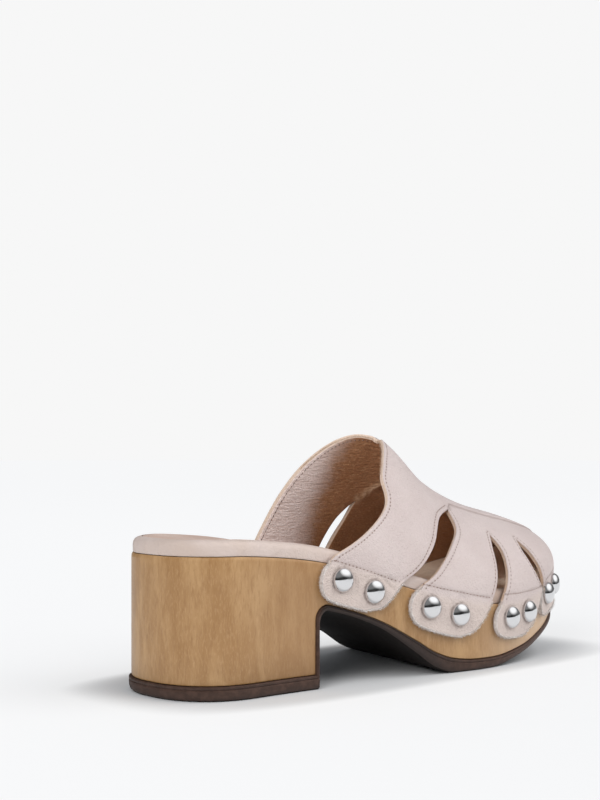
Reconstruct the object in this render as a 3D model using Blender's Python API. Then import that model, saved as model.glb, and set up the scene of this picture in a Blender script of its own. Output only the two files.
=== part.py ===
"""Right-foot heeled mule: wooden sole, rubber outsole, padded footbed, slotted leather upper and domed studs.

Sizes are in millimetres and become metres as each mesh is made. The shoe points along +X, its outer
(lateral) side faces -Y, and it stands on Z = 0. X is counted from the back of the heel, and the empty that
carries the parts then moves the middle of the shoe to the origin.
"""
import math

import bmesh
import bpy
import numpy as np
from mathutils import Matrix, Vector
from mathutils.geometry import delaunay_2d_cdt

MM = 0.001
GAP = 0.3
LATERAL, MEDIAL = -1, 1
SIDES = (LATERAL, MEDIAL)

# Sole outline, seen from above
LENGTH = 246.0
TOE_TIP_Y = 7.0
TOE_POWER = 2.2
HEEL_ROUND = 31.0
HEEL_HALF_WIDTH = 31.75
HEEL_POWER = 2.3
BALL_X = {LATERAL: 155.0, MEDIAL: 178.0}
BALL_HALF_WIDTH = {LATERAL: 45.0, MEDIAL: 45.5}
# x, lateral half width, medial half width
WAIST = (
    (62.0, 33.2, 32.2),
    (100.0, 38.0, 33.6),
    (138.0, 43.2, 40.2),
)

# Top of the wood along the shoe: x, z
WOOD_TOP = (
    (0.0, 57.6), (20.0, 57.5), (40.0, 56.2), (60.0, 53.8), (80.0, 49.4), (108.0, 40.7),
    (135.0, 33.2), (160.0, 29.4), (175.0, 28.6), (190.0, 29.8), (215.0, 35.0), (246.0, 42.5),
)
# Underside in front of the heel: x, wood z, rubber z
ARCH = (
    (67.5, 35.2, 32.4),
    (76.0, 33.0, 30.4),
    (95.0, 26.6, 23.4),
    (115.0, 16.6, 11.0),
    (128.0, 9.6, 2.6),
    (138.0, 6.5, 0.0),
    (150.0, 5.2, 0.0),
    (162.0, 5.0, 0.0),
    (186.0, 7.8, 4.0),
    (203.0, 12.0, 9.0),
    (220.0, 16.8, 14.2),
    (246.0, 24.6, 22.0),
)
# The tread follows the ball of the foot: how far in front of the lateral side its medial side lies, by x
TREAD_SHIFT = (
    (67.5, 0.0), (90.0, 2.5), (103.0, 9.5), (115.0, 19.0), (128.0, 22.0), (138.0, 21.0),
    (162.0, 20.0), (203.0, 10.0), (246.0, 0.0),
)
# Share of that shift at the seam of the rubber and the wood
TREAD_SHIFT_AT_WOOD = 0.75
ARCH_START_X, ARCH_WOOD_Z, ARCH_RUBBER_Z = ARCH[0]
HEEL_LIFT = 6.4
BREAST_X = 61.0
BREAST_RUBBER = 2.3
BREAST_TOP_Z = 29.0
# Rungs of the wood's side lean back by this much at the heel's front corner
BREAST_FAN = 12.0

# Side of each sole piece: share of its height from below, outset from the wood's edge
OUTSOLE_SIDE = (
    (0.0, -1.0), (0.08, -0.2), (0.24, 0.7), (0.56, 1.0),
    (0.61, 0.5), (0.70, 0.5), (0.75, 1.0), (1.0, 1.0),
)
WOOD_SIDE = ((0.0, 0.0), (0.98, 0.0), (1.0, -0.5))
FOOTBED_SIDE = ((0.0, -1.2), (0.12, -0.8), (0.62, -0.8), (0.82, -1.3), (0.95, -2.5), (1.0, -4.2))
FOOTBED_THICKNESS = 6.8
# Number of rungs along each stretch of the sole
HEEL_RUNGS = 10
HEEL_SIDE_RUNGS = 6
BREAST_RUNGS = 4
BREAST_TURN_RUNGS = 6
ARCH_RUNGS = 20
TOE_RUNGS = 18
FOOTBED_WAIST_RUNGS = 26

# Crest line of the last, and how full its ribs are at the side and at the crest
# x, y, z, side fullness, crest fullness
CREST = (
    (60.0, 0.0, 116.0, 0.28, 0.28),
    (100.0, 0.0, 112.5, 0.28, 0.30),
    (120.0, 0.5, 109.0, 0.28, 0.28),
    (135.0, 1.0, 101.3, 0.27, 0.25),
    (148.0, 2.0, 89.6, 0.36, 0.24),
    (165.0, 3.0, 79.5, 0.39, 0.32),
    (185.0, 5.0, 72.1, 0.48, 0.41),
    (206.0, 6.5, 67.3, 0.50, 0.47),
    (224.0, 7.0, 63.0, 0.44, 0.47),
)
CREST_END_X = 218.0
RIBS_SQUARE_TO_X = 150.0
UPPER_WALL = 2.4
# The wall stands upright for this height above the wood before it bends over the foot
UPRIGHT = 4.0

# Places on the upper are a station and a level. A station is mm along the lateral sole edge from the toe tip,
# and the shorter medial edge is scaled to it. Level 0 is the bend, CREST_LEVEL the crest line, and a level
# below 0 is mm down a tab.
CREST_LEVEL = 80.0
WOOD_EDGE_LEVEL = -UPRIGHT
BACK_X = 62.0
SOLE_EDGE_MARGIN = 10.0
SOLE_EDGE_POINTS = 1500
# Half the stretch over which slopes and normals are taken
REACH = 0.5
# Collar edge from the crest to the first tab: level, lateral station, medial station
COLLAR = (
    (80.0, 139.2, 139.2),
    (70.0, 142.6, 146.2),
    (60.0, 148.0, 156.0),
    (50.0, 155.4, 165.0),
    (42.0, 161.4, 170.9),
    (34.5, 163.2, 175.0),
    (28.0, 168.2, 178.0),
    (16.0, 182.8, 182.4),
    (3.0, 198.8, 187.0),
)
FIRST_TAB_BACK = {LATERAL: 205.2, MEDIAL: 190.2}
# Slots between the tabs: each one's centre line runs from its apex through a middle station to its foot at
# the wood's edge
# apex station, apex level, middle station, foot station, upper width, middle width, foot width
SLOTS = {
    LATERAL: (
        (115.0, 46.4, 136.8, 161.4, 11.9, 9.0, 9.6),
        (93.4, 36.8, 99.6, 109.0, 7.9, 8.4, 8.0),
        (72.8, 33.6, 70.8, 65.0, 7.0, 7.4, 3.0),
    ),
    MEDIAL: (
        (127.4, 42.4, 136.0, 142.4, 6.0, 6.6, 8.0),
        (95.2, 37.0, 98.2, 100.8, 6.0, 6.4, 6.0),
        (73.2, 34.0, 70.8, 64.2, 5.4, 5.6, 3.0),
    ),
}
SLOT_WIDTHS_AT = (0.0, 0.30, 0.60, 1.0)
SLOT_POINTS = 10
SLOT_CROWDING = 1.5
TAB_DEPTHS = (16.4, 16.2, 15.8, 13.6)
# Edges of a tab: mm behind its corner, share of its depth
TAB_BACK = ((0.0, 0.0), (3.0, 0.22), (4.4, 0.50), (3.2, 0.80), (-2.5, 0.97))
TAB_FRONT = ((18.0, 0.95), (10.5, 0.76), (4.6, 0.38), (0.0, 0.0))
# Lap seam beside the crest, from the first slot to the toe: station, level
LAP_SEAM = (
    (114.0, 47.6), (108.0, 53.0), (95.0, 55.0), (81.0, 54.8), (63.5, 52.0), (48.0, 47.0),
    (28.0, 38.0), (15.0, 22.0), (10.0, 0.0), (9.0, -15.6),
)
LAP_STEP = 0.8
LAP_SLOPE = 1.6
LAP_FADE = 26.0
LAP_RUN_OUT = 8.0
# Spacing of the points of the wall: along its edges, from them, and from each other
EDGE_STEP = 3.0
EDGE_MARGIN = 2.4
WALL_STEP = 4.5
# Grid of places that the points of the wall are picked from
CREST_GRID = 1.0
STATION_GRID = 4.0
LEVEL_GRID = 3.6
LOWEST_LEVEL = -20.0
MERGE_DISTANCE = 1e-5

# Two studs on each tab: mm from the tab's back corner, mm between them, and the mm below the wood's top edge
# of the back one and of the front one
STUDS = (
    (6.8, 17.0, 5.6, 6.9),
    (6.8, 17.0, 5.8, 6.2),
    (6.8, 15.2, 6.2, 5.8),
    (3.4, 13.5, 3.5, 3.1),
)
# radius, height
STUD_PROFILE = ((5.1, 0.0), (5.2, 0.5), (4.6, 1.6), (3.3, 2.5), (1.7, 3.0))
STUD_CROWN = 3.1
STUD_SIDES = 12

# name, colour, roughness, metallic
LEATHER = ("leather", (0.665, 0.588, 0.571), 0.55, 0.0)
FOOTBED_LEATHER = ("footbed_leather", (0.690, 0.600, 0.545), 0.55, 0.0)
WOOD = ("wood", (0.445, 0.275, 0.135), 0.50, 0.0)
RUBBER = ("rubber", (0.069, 0.040, 0.030), 0.60, 0.0)
CHROME = ("chrome", (0.80, 0.80, 0.81), 0.10, 1.0)
SHARP_ANGLE = math.radians(35)


def smooth(rows, at, column=1, end_slopes=None):
    """Monotone cubic through the rows' first column and another one."""
    xs = [row[0] for row in rows]
    ys = [row[column] for row in rows]
    steps = [b - a for a, b in zip(xs, xs[1:])]
    rates = [(b - a) / step for a, b, step in zip(ys, ys[1:], steps)]
    slopes = [rates[0]] + [0.0] * (len(xs) - 2) + [rates[-1]]
    for i in range(1, len(xs) - 1):
        if rates[i - 1] * rates[i] > 0:
            before = 2 * steps[i] + steps[i - 1]
            after = steps[i] + 2 * steps[i - 1]
            slopes[i] = (before + after) / (before / rates[i - 1] + after / rates[i])
    if end_slopes is not None:
        slopes[0], slopes[-1] = end_slopes
    at = min(max(at, xs[0]), xs[-1])
    i = 0
    while i < len(steps) - 1 and at > xs[i + 1]:
        i += 1
    t = (at - xs[i]) / steps[i]
    start = (1 - t) ** 2 * ((1 + 2 * t) * ys[i] + t * steps[i] * slopes[i])
    end = t ** 2 * ((3 - 2 * t) * ys[i + 1] + (t - 1) * steps[i] * slopes[i + 1])
    return start + end


def flow(points, step, before=None):
    """Points about one step apart on a smooth curve through the given ones, coming from any one before them."""
    padded = [before or 2 * points[0] - points[1], *points, 2 * points[-1] - points[-2]]
    curve = [points[0]]
    for a, b, c, d in zip(padded, padded[1:], padded[2:], padded[3:]):
        pieces = max(1, round((c - b).length / step))
        for k in range(1, pieces + 1):
            t = k / pieces
            bend = (2 * a - 5 * b + 4 * c - d) * t + (3 * b - a - 3 * c + d) * t ** 2
            curve.append(b + 0.5 * t * (c - a + bend))
    return curve


# Sole outline

def sole_half_width(x, side):
    """Distance of the sole edge from the long axis at one x, and its outward normal along and across."""
    ball_x, ball_width = BALL_X[side], BALL_HALF_WIDTH[side]
    if x < HEEL_ROUND:
        along = (HEEL_ROUND - x) / HEEL_ROUND
        across = (1 - along ** HEEL_POWER) ** (1 / HEEL_POWER)
        width = HEEL_HALF_WIDTH * across
        power = HEEL_POWER - 1
        normal = Vector((-along ** power / HEEL_ROUND, across ** power / HEEL_HALF_WIDTH))
    elif x < ball_x:
        column = 1 if side == LATERAL else 2
        waist = [(row[0], row[column]) for row in WAIST]
        rows = [(HEEL_ROUND, HEEL_HALF_WIDTH), *waist, (ball_x, ball_width)]
        before, width, after = (smooth(rows, x + step, end_slopes=(0, 0)) for step in (-REACH, 0.0, REACH))
        normal = Vector((before - after, 2 * REACH))
    else:
        tip = side * TOE_TIP_Y
        toe_length = LENGTH - ball_x
        along = min((x - ball_x) / toe_length, 1.0)
        across = (1 - along ** TOE_POWER) ** (1 / TOE_POWER)
        width = tip + (ball_width - tip) * across
        power = TOE_POWER - 1
        normal = Vector((along ** power / toe_length, across ** power / (ball_width - tip)))
    return width, normal.normalized()


def sole_edge_point(x, side, outset):
    """Point of the sole edge in plan, moved outwards by the outset."""
    width, normal = sole_half_width(x, side)
    return x + normal.x * outset, side * (width + normal.y * outset)


def heel_stations(count):
    turns = [k * math.pi / 2 / count for k in range(count + 1)]
    return [HEEL_ROUND * (1 - math.cos(turn) ** (2 / HEEL_POWER)) for turn in turns]


def toe_stations(start, count):
    turns = [k * math.pi / 2 / count for k in range(1, count + 1)]
    return [start + (LENGTH - start) * math.sin(turn) ** (2 / TOE_POWER) for turn in turns]


def even_stations(start, end, count):
    return [start + (end - start) * k / count for k in range(1, count + 1)]


# Side profiles

def wood_top(x):
    return smooth(WOOD_TOP, x)


def breast_turn(corner_x, corner_z, end_z, turn):
    """Quarter oval from the heel's upright breast into the arch."""
    reach = ARCH_START_X - corner_x
    return ARCH_START_X - reach * math.cos(turn), corner_z + (end_z - corner_z) * math.sin(turn)


def sole_rungs():
    """Rungs from heel to toe: under the rubber, under the wood and above it, as x, z and medial shift."""
    rungs = []
    corner_x = BREAST_X + BREAST_RUBBER
    rubber_top_z = BREAST_TOP_Z - BREAST_RUBBER
    for x in heel_stations(HEEL_RUNGS) + even_stations(HEEL_ROUND, BREAST_X, HEEL_SIDE_RUNGS):
        lean = max(0.0, (x - HEEL_ROUND) / (BREAST_X - HEEL_ROUND))
        top_x = x - BREAST_FAN * lean
        rungs.append(((x + BREAST_RUBBER * lean, 0.0, 0.0), (x, HEEL_LIFT, 0.0), (top_x, wood_top(top_x), 0.0)))
    for rise in even_stations(0.0, 1.0, BREAST_RUNGS):
        top_x = BREAST_X - BREAST_FAN * (1 - rise)
        wood = (BREAST_X, HEEL_LIFT + rise * (BREAST_TOP_Z - HEEL_LIFT), 0.0)
        rungs.append(((corner_x, rise * rubber_top_z, 0.0), wood, (top_x, wood_top(top_x), 0.0)))
    for share in even_stations(0.0, 1.0, BREAST_TURN_RUNGS):
        turn = share * math.pi / 2
        top_x = BREAST_X + (ARCH_START_X - BREAST_X) * share
        wood = breast_turn(BREAST_X, BREAST_TOP_Z, ARCH_WOOD_Z, turn)
        rubber = breast_turn(corner_x, rubber_top_z, ARCH_RUBBER_Z, turn)
        rungs.append(((*rubber, 0.0), (*wood, 0.0), (top_x, wood_top(top_x), 0.0)))
    ball_x = BALL_X[LATERAL]
    for x in even_stations(ARCH_START_X, ball_x, ARCH_RUNGS) + toe_stations(ball_x, TOE_RUNGS):
        shift = smooth(TREAD_SHIFT, x)
        under = (x, smooth(ARCH, x, 2), shift)
        wood = (x, smooth(ARCH, x, 1), TREAD_SHIFT_AT_WOOD * shift)
        rungs.append((under, wood, (x, wood_top(x), 0.0)))
    return rungs


# Meshes

def make_material(finish):
    name, colour, roughness, metallic = finish
    material = bpy.data.materials.get(name) or bpy.data.materials.new(name)
    material.use_nodes = True
    shader = material.node_tree.nodes["Principled BSDF"]
    shader.inputs["Base Color"].default_value = (*colour, 1.0)
    shader.inputs["Roughness"].default_value = roughness
    shader.inputs["Metallic"].default_value = metallic
    return material


def make_mesh(name, points, faces, finish):
    """Closed mesh from points in mm, with its faces turned outwards."""
    bm = bmesh.new()
    verts = [bm.verts.new(Vector(point) * MM) for point in points]
    for face in faces:
        bm.faces.new([verts[i] for i in face])
    bmesh.ops.recalc_face_normals(bm, faces=bm.faces)
    if bm.calc_volume(signed=True) < 0:
        bmesh.ops.reverse_faces(bm, faces=bm.faces)
    bmesh.ops.triangulate(bm, faces=bm.faces)
    mesh = bpy.data.meshes.new(name)
    bm.to_mesh(mesh)
    bm.free()
    mesh.materials.append(make_material(finish))
    mesh.shade_smooth()
    mesh.set_sharp_from_angle(angle=SHARP_ANGLE)
    return mesh


def slab(name, rungs, rows, finish):
    """Solid along the sole outline: a rung is two points of x, z and medial shift, a row a share and an outset."""
    points = []
    rings = []
    for share, outset in rows:
        ring = []
        for low, high in rungs:
            x, z, shift = Vector(low).lerp(Vector(high), share)
            x_on = {LATERAL: x, MEDIAL: x + shift}
            sides = SIDES if 0.0 < x < LENGTH else SIDES[:1]
            spots = [(*sole_edge_point(x_on[side], side, outset), z) for side in sides]
            ring.append(list(range(len(points), len(points) + len(spots))))
            points.extend(spots)
        rings.append(ring)
    faces = []
    for ring, above in zip(rings, rings[1:]):
        for side in (0, -1):
            for i in range(len(rungs) - 1):
                faces.append((ring[i][side], ring[i + 1][side], above[i + 1][side], above[i][side]))
    for ring in (rings[0], rings[-1]):
        for spots, next_spots in zip(ring, ring[1:]):
            faces.append((*spots, *reversed(next_spots)))
    return make_mesh(name, points, faces, finish)


# Sole pieces

def outsole_mesh():
    rungs = []
    for under, wood, _ in sole_rungs():
        reach = Vector(wood) - Vector(under)
        rungs.append((under, Vector(under) + reach * (1 - GAP / reach.xy.length)))
    return slab("outsole", rungs, OUTSOLE_SIDE, RUBBER)


def wooden_sole_mesh():
    return slab("wooden_sole", [(wood, top) for _, wood, top in sole_rungs()], WOOD_SIDE, WOOD)


def footbed_mesh():
    ball_x = BALL_X[LATERAL]
    stations = heel_stations(HEEL_RUNGS)
    stations += even_stations(HEEL_ROUND, ball_x, FOOTBED_WAIST_RUNGS) + toe_stations(ball_x, TOE_RUNGS)
    rungs = [((x, wood_top(x) + GAP, 0.0), (x, wood_top(x) + FOOTBED_THICKNESS, 0.0)) for x in stations]
    return slab("footbed", rungs, FOOTBED_SIDE, FOOTBED_LEATHER)


# Last: the inner face of the upper

def sole_edge_table(side):
    """Distances from the toe tip along the sole edge, and the edge's x, y and normal there."""
    start = BACK_X - SOLE_EDGE_MARGIN
    xs = [LENGTH, *reversed(toe_stations(start, SOLE_EDGE_POINTS)[:-1]), start]
    rows = []
    for x in xs:
        width, normal = sole_half_width(x, side)
        rows.append((x, side * width, normal.x, side * normal.y))
    table = np.array(rows)
    lengths = np.hypot(np.diff(table[:, 0]), np.diff(table[:, 1]))
    return np.concatenate([[0.0], np.cumsum(lengths)]), table


SOLE_EDGE = {side: sole_edge_table(side) for side in SIDES}


def edge_distance(side, x):
    distances, table = SOLE_EDGE[side]
    return float(np.interp(-x, -table[:, 0], distances))


STATION_SCALE = {side: edge_distance(side, BACK_X) / edge_distance(LATERAL, BACK_X) for side in SIDES}
SQUARE_TO = {side: edge_distance(side, RIBS_SQUARE_TO_X) for side in SIDES}


def sole_edge(side, station):
    """Place and outward normal of the sole edge at a station."""
    distances, table = SOLE_EDGE[side]
    distance = station * STATION_SCALE[side]
    x, y, along, across = (float(np.interp(distance, distances, column)) for column in table.T)
    return Vector((x, y, 0)), Vector((along, across, 0)).normalized()


def crest_x(side, station):
    """Where a rib meets the crest line: square to it at the waist, fanning out round the toe."""
    distance = station * STATION_SCALE[side]
    turn_at = SQUARE_TO[side]
    if distance >= turn_at:
        return RIBS_SQUARE_TO_X + turn_at - distance
    share = 1 - distance / turn_at
    reach = CREST_END_X - RIBS_SQUARE_TO_X
    return RIBS_SQUARE_TO_X + turn_at * share * (1 - share) ** 2 + reach * share ** 2 * (3 - 2 * share)


def crest_slope(x):
    return (smooth(CREST, x + REACH, 2) - smooth(CREST, x - REACH, 2)) / (2 * REACH)


def rib(side, station):
    """Four control points of a rib of the last, from the bend at the sole edge to the crest line."""
    edge, normal = sole_edge(side, station)
    foot = edge + GAP * normal
    foot.z = wood_top(foot.x) + UPRIGHT
    top_x = crest_x(side, station)
    y, z, side_fullness, crest_fullness = (smooth(CREST, top_x, column) for column in range(1, 5))
    top = Vector((top_x, y, z))
    outwards = foot - top
    outwards.z = crest_slope(top_x) * outwards.x
    upwards = Vector((0, 0, z - foot.z))
    return foot, foot + side_fullness * upwards, top + crest_fullness * outwards, top


def last_point(side, station, level):
    foot, low, high, top = rib(side, station)
    if level < 0:
        return foot + Vector((0, 0, level))
    t = min(level / CREST_LEVEL, 1.0)
    return (1 - t) ** 3 * foot + 3 * t * (1 - t) ** 2 * low + 3 * t ** 2 * (1 - t) * high + t ** 3 * top


def last_normal(side, station, level):
    """Outward normal of the last."""
    if level >= CREST_LEVEL:
        return Vector((-crest_slope(crest_x(side, station)), 0, 1)).normalized()
    back = last_point(side, station + REACH, level)
    ahead = station - REACH
    front = last_point(side if ahead >= 0 else -side, abs(ahead), level)
    rise = last_point(side, station, level + REACH) - last_point(side, station, level - REACH)
    return side * rise.cross(front - back).normalized()


def flat_point(side, station, level):
    """Where a point of the upper lies when its ribs are laid out flat on both sides of the crest line."""
    controls = rib(side, station)
    girth = sum((b - a).length for a, b in zip(controls, controls[1:]))
    foot, top = controls[0].xy, controls[-1].xy
    share = 1 - min(max(level, 0.0), CREST_LEVEL) / CREST_LEVEL
    return top + (foot - top).normalized() * (girth * share + max(-level, 0.0))


# Upper: its outline on the last

def tab_edge(corner, rows, depth):
    return [Vector((corner + behind, WOOD_EDGE_LEVEL - share * depth)) for behind, share in rows]


def slot_edges(slot):
    """Apex of a slot, and its back and front edges from the apex to the foot."""
    apex_station, apex_level, middle_station, foot_station, *widths = slot
    apex = Vector((apex_station, apex_level))
    foot = Vector((foot_station, WOOD_EDGE_LEVEL))
    middle = Vector((middle_station, (apex_level + WOOD_EDGE_LEVEL) / 2))
    pull = 2 * middle - (apex + foot) / 2
    width_rows = list(zip(SLOT_WIDTHS_AT, (0.0, *widths)))
    back_edge, front_edge = [], []
    for k in range(1, SLOT_POINTS + 1):
        t = (k / SLOT_POINTS) ** SLOT_CROWDING
        centre = (1 - t) ** 2 * apex + 2 * t * (1 - t) * pull + t ** 2 * foot
        half = Vector((smooth(width_rows, t) / 2, 0))
        back_edge.append(centre + half)
        front_edge.append(centre - half)
    return apex, back_edge, front_edge


def half_outline(side):
    """Outline of one half of the upper, from the collar's crest to the middle of the toe tab."""
    column, other_column = (1, 2) if side == LATERAL else (2, 1)
    path = [Vector((row[column], row[0])) for row in COLLAR]
    over_the_crest = Vector((COLLAR[1][other_column], 2 * CREST_LEVEL - COLLAR[1][0]))
    back = FIRST_TAB_BACK[side]
    outline = path[:1]
    for slot, depth in zip(SLOTS[side], TAB_DEPTHS):
        apex, back_edge, front_edge = slot_edges(slot)
        front = back_edge[-1].x
        middle = Vector(((back + front) / 2, WOOD_EDGE_LEVEL - depth))
        path += [*tab_edge(back, TAB_BACK, depth), middle, *tab_edge(front, TAB_FRONT, depth)]
        outline += flow(path, EDGE_STEP, over_the_crest)[1:]
        path = [*reversed(back_edge), apex, *front_edge[:-1]]
        over_the_crest = None
        back = front_edge[-1].x
    bottom = WOOD_EDGE_LEVEL - TAB_DEPTHS[-1]
    path += [*tab_edge(back, TAB_BACK, TAB_DEPTHS[-1]), Vector((back / 2, bottom)), Vector((0, bottom))]
    return outline + flow(path, EDGE_STEP)[1:]


def tab_backs(side):
    """Back corner of each tab, from the first one to the toe tab."""
    return [FIRST_TAB_BACK[side], *(slot_edges(slot)[2][-1].x for slot in SLOTS[side])]


def lap_lines():
    """The lap seam's lower edge, and its upper edge a little nearer the crest."""
    lower = flow([Vector(row) for row in LAP_SEAM], EDGE_STEP)
    upper = []
    for i, spot in enumerate(lower):
        ahead = lower[min(i + 1, len(lower) - 1)] - lower[max(i - 1, 0)]
        upper.append(spot + LAP_SLOPE * Vector((ahead.y, -ahead.x)).normalized())
    return lower, upper


def is_inside(spot, polygon):
    inside = False
    for a, b in zip(polygon, [*polygon[1:], polygon[0]]):
        if (a.y > spot.y) != (b.y > spot.y) and spot.x < a.x + (spot.y - a.y) / (b.y - a.y) * (b.x - a.x):
            inside = not inside
    return inside


def lap_height(spot, seam):
    """How far the lapped layer raises the outer face at a flat point: full at the seam, fading medially."""
    nearest = None
    for i, (a, b) in enumerate(zip(seam, seam[1:])):
        along = b - a
        share = (spot - a).dot(along) / along.length_squared
        foot = a + along * min(max(share, 0.0), 1.0)
        distance = (spot - foot).length
        if nearest is None or distance < nearest[0]:
            beyond = -share * along.length if i == 0 else 0.0
            nearest = (distance, along.cross(spot - a), max(beyond, 0.0))
    distance, turn, beyond = nearest
    if turn <= 0:
        return 0.0
    fade = max(0.0, 1 - distance / LAP_FADE)
    return LAP_STEP * fade * max(0.0, 1 - beyond / LAP_RUN_OUT)


def wall_spots():
    """Evenly spread places on the upper, on both sides of the crest line and along it."""
    crest_stations = np.arange(0.0, COLLAR[0][1], CREST_GRID).tolist()
    levels = np.arange(LOWEST_LEVEL, CREST_LEVEL - CREST_GRID, LEVEL_GRID).tolist()
    spots = [(LATERAL, station, CREST_LEVEL) for station in crest_stations]
    for side in SIDES:
        first = 0.0 if side == LATERAL else STATION_GRID
        last = FIRST_TAB_BACK[side] + STATION_GRID
        for station in np.arange(first, last, STATION_GRID).tolist():
            spots += [(side, station, level) for level in levels]
    return spots


def upper_mesh():
    """The leather wall: an outline on the last, filled with triangles, with an outer face one wall away."""
    lateral, medial = half_outline(LATERAL), half_outline(MEDIAL)
    rim = [(LATERAL, *spot) for spot in lateral] + [(MEDIAL, *spot) for spot in medial[-2:0:-1]]
    lower, upper = ([(LATERAL, *spot) for spot in line] for line in lap_lines())
    places = rim + lower + upper
    flat = [flat_point(*place) for place in places]
    outline = flat[:len(rim)]
    seam = flat[len(rim):len(rim) + len(lower)]
    for place in wall_spots():
        spot = flat_point(*place)
        fixed = flat[:len(rim) + 2 * len(lower)]
        if min((spot - other).length for other in fixed) < EDGE_MARGIN or not is_inside(spot, outline):
            continue
        if all((spot - other).length >= WALL_STEP for other in flat[len(fixed):]):
            places.append(place)
            flat.append(spot)

    seam_edges = []
    for start in (len(rim), len(rim) + len(lower)):
        seam_edges += [(i, i + 1) for i in range(start, start + len(lower) - 1)]
    rim_face = list(range(len(rim)))
    spots, _, triangles, sources, _, _ = delaunay_2d_cdt(flat, seam_edges, [rim_face], 1, MERGE_DISTANCE)
    inner, outer = [], []
    for spot, source in zip(spots, sources):
        place = places[source[0]]
        on_lower_edge = len(rim) <= source[0] < len(rim) + len(lower)
        raised = 0.0 if on_lower_edge else lap_height(spot, seam)
        point = last_point(*place)
        inner.append(point)
        outer.append(point + last_normal(*place) * (UPPER_WALL + raised))

    count = len(inner)
    used = {}
    faces = []
    for triangle in triangles:
        faces.append(tuple(triangle))
        faces.append(tuple(count + i for i in reversed(triangle)))
        for a, b in zip(triangle, [*triangle[1:], triangle[0]]):
            used[(a, b)] = True
    for a, b in used:
        if (b, a) not in used:
            faces.append((b, a, count + a, count + b))
    return make_mesh("upper", outer + inner, faces, LEATHER)


# Studs

def stud_mesh():
    """Domed nail head, its flat underside at Z = 0."""
    points = []
    faces = []
    for radius, height in STUD_PROFILE:
        for k in range(STUD_SIDES):
            turn = 2 * math.pi * k / STUD_SIDES
            points.append((radius * math.cos(turn), radius * math.sin(turn), height))
    crown = len(points)
    points.append((0, 0, STUD_CROWN))
    for row in range(len(STUD_PROFILE) - 1):
        for k in range(STUD_SIDES):
            a, b = row * STUD_SIDES + k, row * STUD_SIDES + (k + 1) % STUD_SIDES
            faces.append((a, b, b + STUD_SIDES, a + STUD_SIDES))
    last_row = crown - STUD_SIDES
    for k in range(STUD_SIDES):
        faces.append((last_row + k, last_row + (k + 1) % STUD_SIDES, crown))
    faces.append(tuple(range(STUD_SIDES)))
    return make_mesh("stud", points, faces, CHROME)


def stud_matrix(side, station, drop):
    """Seat of a stud on the outer face of a tab, a drop below the wood's top edge."""
    edge, normal = sole_edge(side, station)
    seat = edge + (GAP + UPPER_WALL + GAP) * normal
    seat.z = wood_top(edge.x) - drop
    return Matrix.Translation(seat * MM) @ normal.to_track_quat("Z", "Y").to_matrix().to_4x4()


# Assembly

def place(name, mesh, origin, matrix=None):
    thing = bpy.data.objects.new(name, mesh)
    bpy.context.scene.collection.objects.link(thing)
    thing.parent = origin
    if matrix is not None:
        thing.matrix_local = matrix


def centre_on_floor(origin):
    """Move the shoe so that the middle of its box, seen from above, is at the world's origin on the floor."""
    bpy.context.view_layer.update()
    corners = [thing.matrix_world @ vertex.co for thing in origin.children for vertex in thing.data.vertices]
    low = Vector(map(min, zip(*corners)))
    high = Vector(map(max, zip(*corners)))
    middle = (low + high) / 2
    origin.location = (-middle.x, -middle.y, -low.z)


def main():
    for thing in list(bpy.data.objects):
        bpy.data.objects.remove(thing)
    origin = bpy.data.objects.new("mule_origin", None)
    bpy.context.scene.collection.objects.link(origin)

    place("outsole", outsole_mesh(), origin)
    place("wooden_sole", wooden_sole_mesh(), origin)
    place("footbed", footbed_mesh(), origin)
    place("upper", upper_mesh(), origin)
    stud = stud_mesh()
    for side, word in ((LATERAL, "lateral"), (MEDIAL, "medial")):
        for tab, (back, row) in enumerate(zip(tab_backs(side), STUDS), start=1):
            from_back, pitch, *drops = row
            for nail, drop in enumerate(drops):
                station = back - from_back - nail * pitch
                place(f"stud_{word}_{tab}_{nail + 1}", stud, origin, stud_matrix(side, station, drop))
    centre_on_floor(origin)


main()
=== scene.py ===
"""Heeled mule in soft studio light: upper with lining and stitches, footbed, wood, rubber and nail heads.

Sizes are in millimetres in the shoe's own frame, X counted from the back of the heel. They become metres in
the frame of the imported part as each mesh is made.
"""
import math

import bpy
import numpy as np
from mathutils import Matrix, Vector
from mathutils.geometry import delaunay_2d_cdt


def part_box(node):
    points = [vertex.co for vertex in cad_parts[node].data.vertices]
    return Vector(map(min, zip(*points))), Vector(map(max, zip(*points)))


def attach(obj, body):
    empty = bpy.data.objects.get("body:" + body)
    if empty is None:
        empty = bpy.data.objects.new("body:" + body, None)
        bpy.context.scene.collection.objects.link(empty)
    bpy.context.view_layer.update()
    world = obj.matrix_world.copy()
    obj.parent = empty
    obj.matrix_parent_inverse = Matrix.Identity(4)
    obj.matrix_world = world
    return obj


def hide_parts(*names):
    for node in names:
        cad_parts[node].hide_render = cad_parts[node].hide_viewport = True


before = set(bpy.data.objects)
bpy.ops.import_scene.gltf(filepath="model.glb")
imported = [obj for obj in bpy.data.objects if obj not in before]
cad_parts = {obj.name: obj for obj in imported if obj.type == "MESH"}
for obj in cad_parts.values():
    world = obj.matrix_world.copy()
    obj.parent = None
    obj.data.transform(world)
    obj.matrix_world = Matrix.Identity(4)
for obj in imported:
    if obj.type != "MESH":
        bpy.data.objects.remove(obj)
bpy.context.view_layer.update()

MM = 0.001
GAP = 0.3
LATERAL, MEDIAL = -1, 1
SIDES = (LATERAL, MEDIAL)

# Sole outline, seen from above
LENGTH = 246.0
TOE_TIP_Y = 7.0
TOE_POWER = 2.2
HEEL_ROUND = 31.0
HEEL_HALF_WIDTH = 31.75
HEEL_POWER = 2.3
BALL_X = {LATERAL: 155.0, MEDIAL: 178.0}
BALL_HALF_WIDTH = {LATERAL: 45.0, MEDIAL: 45.5}
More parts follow.
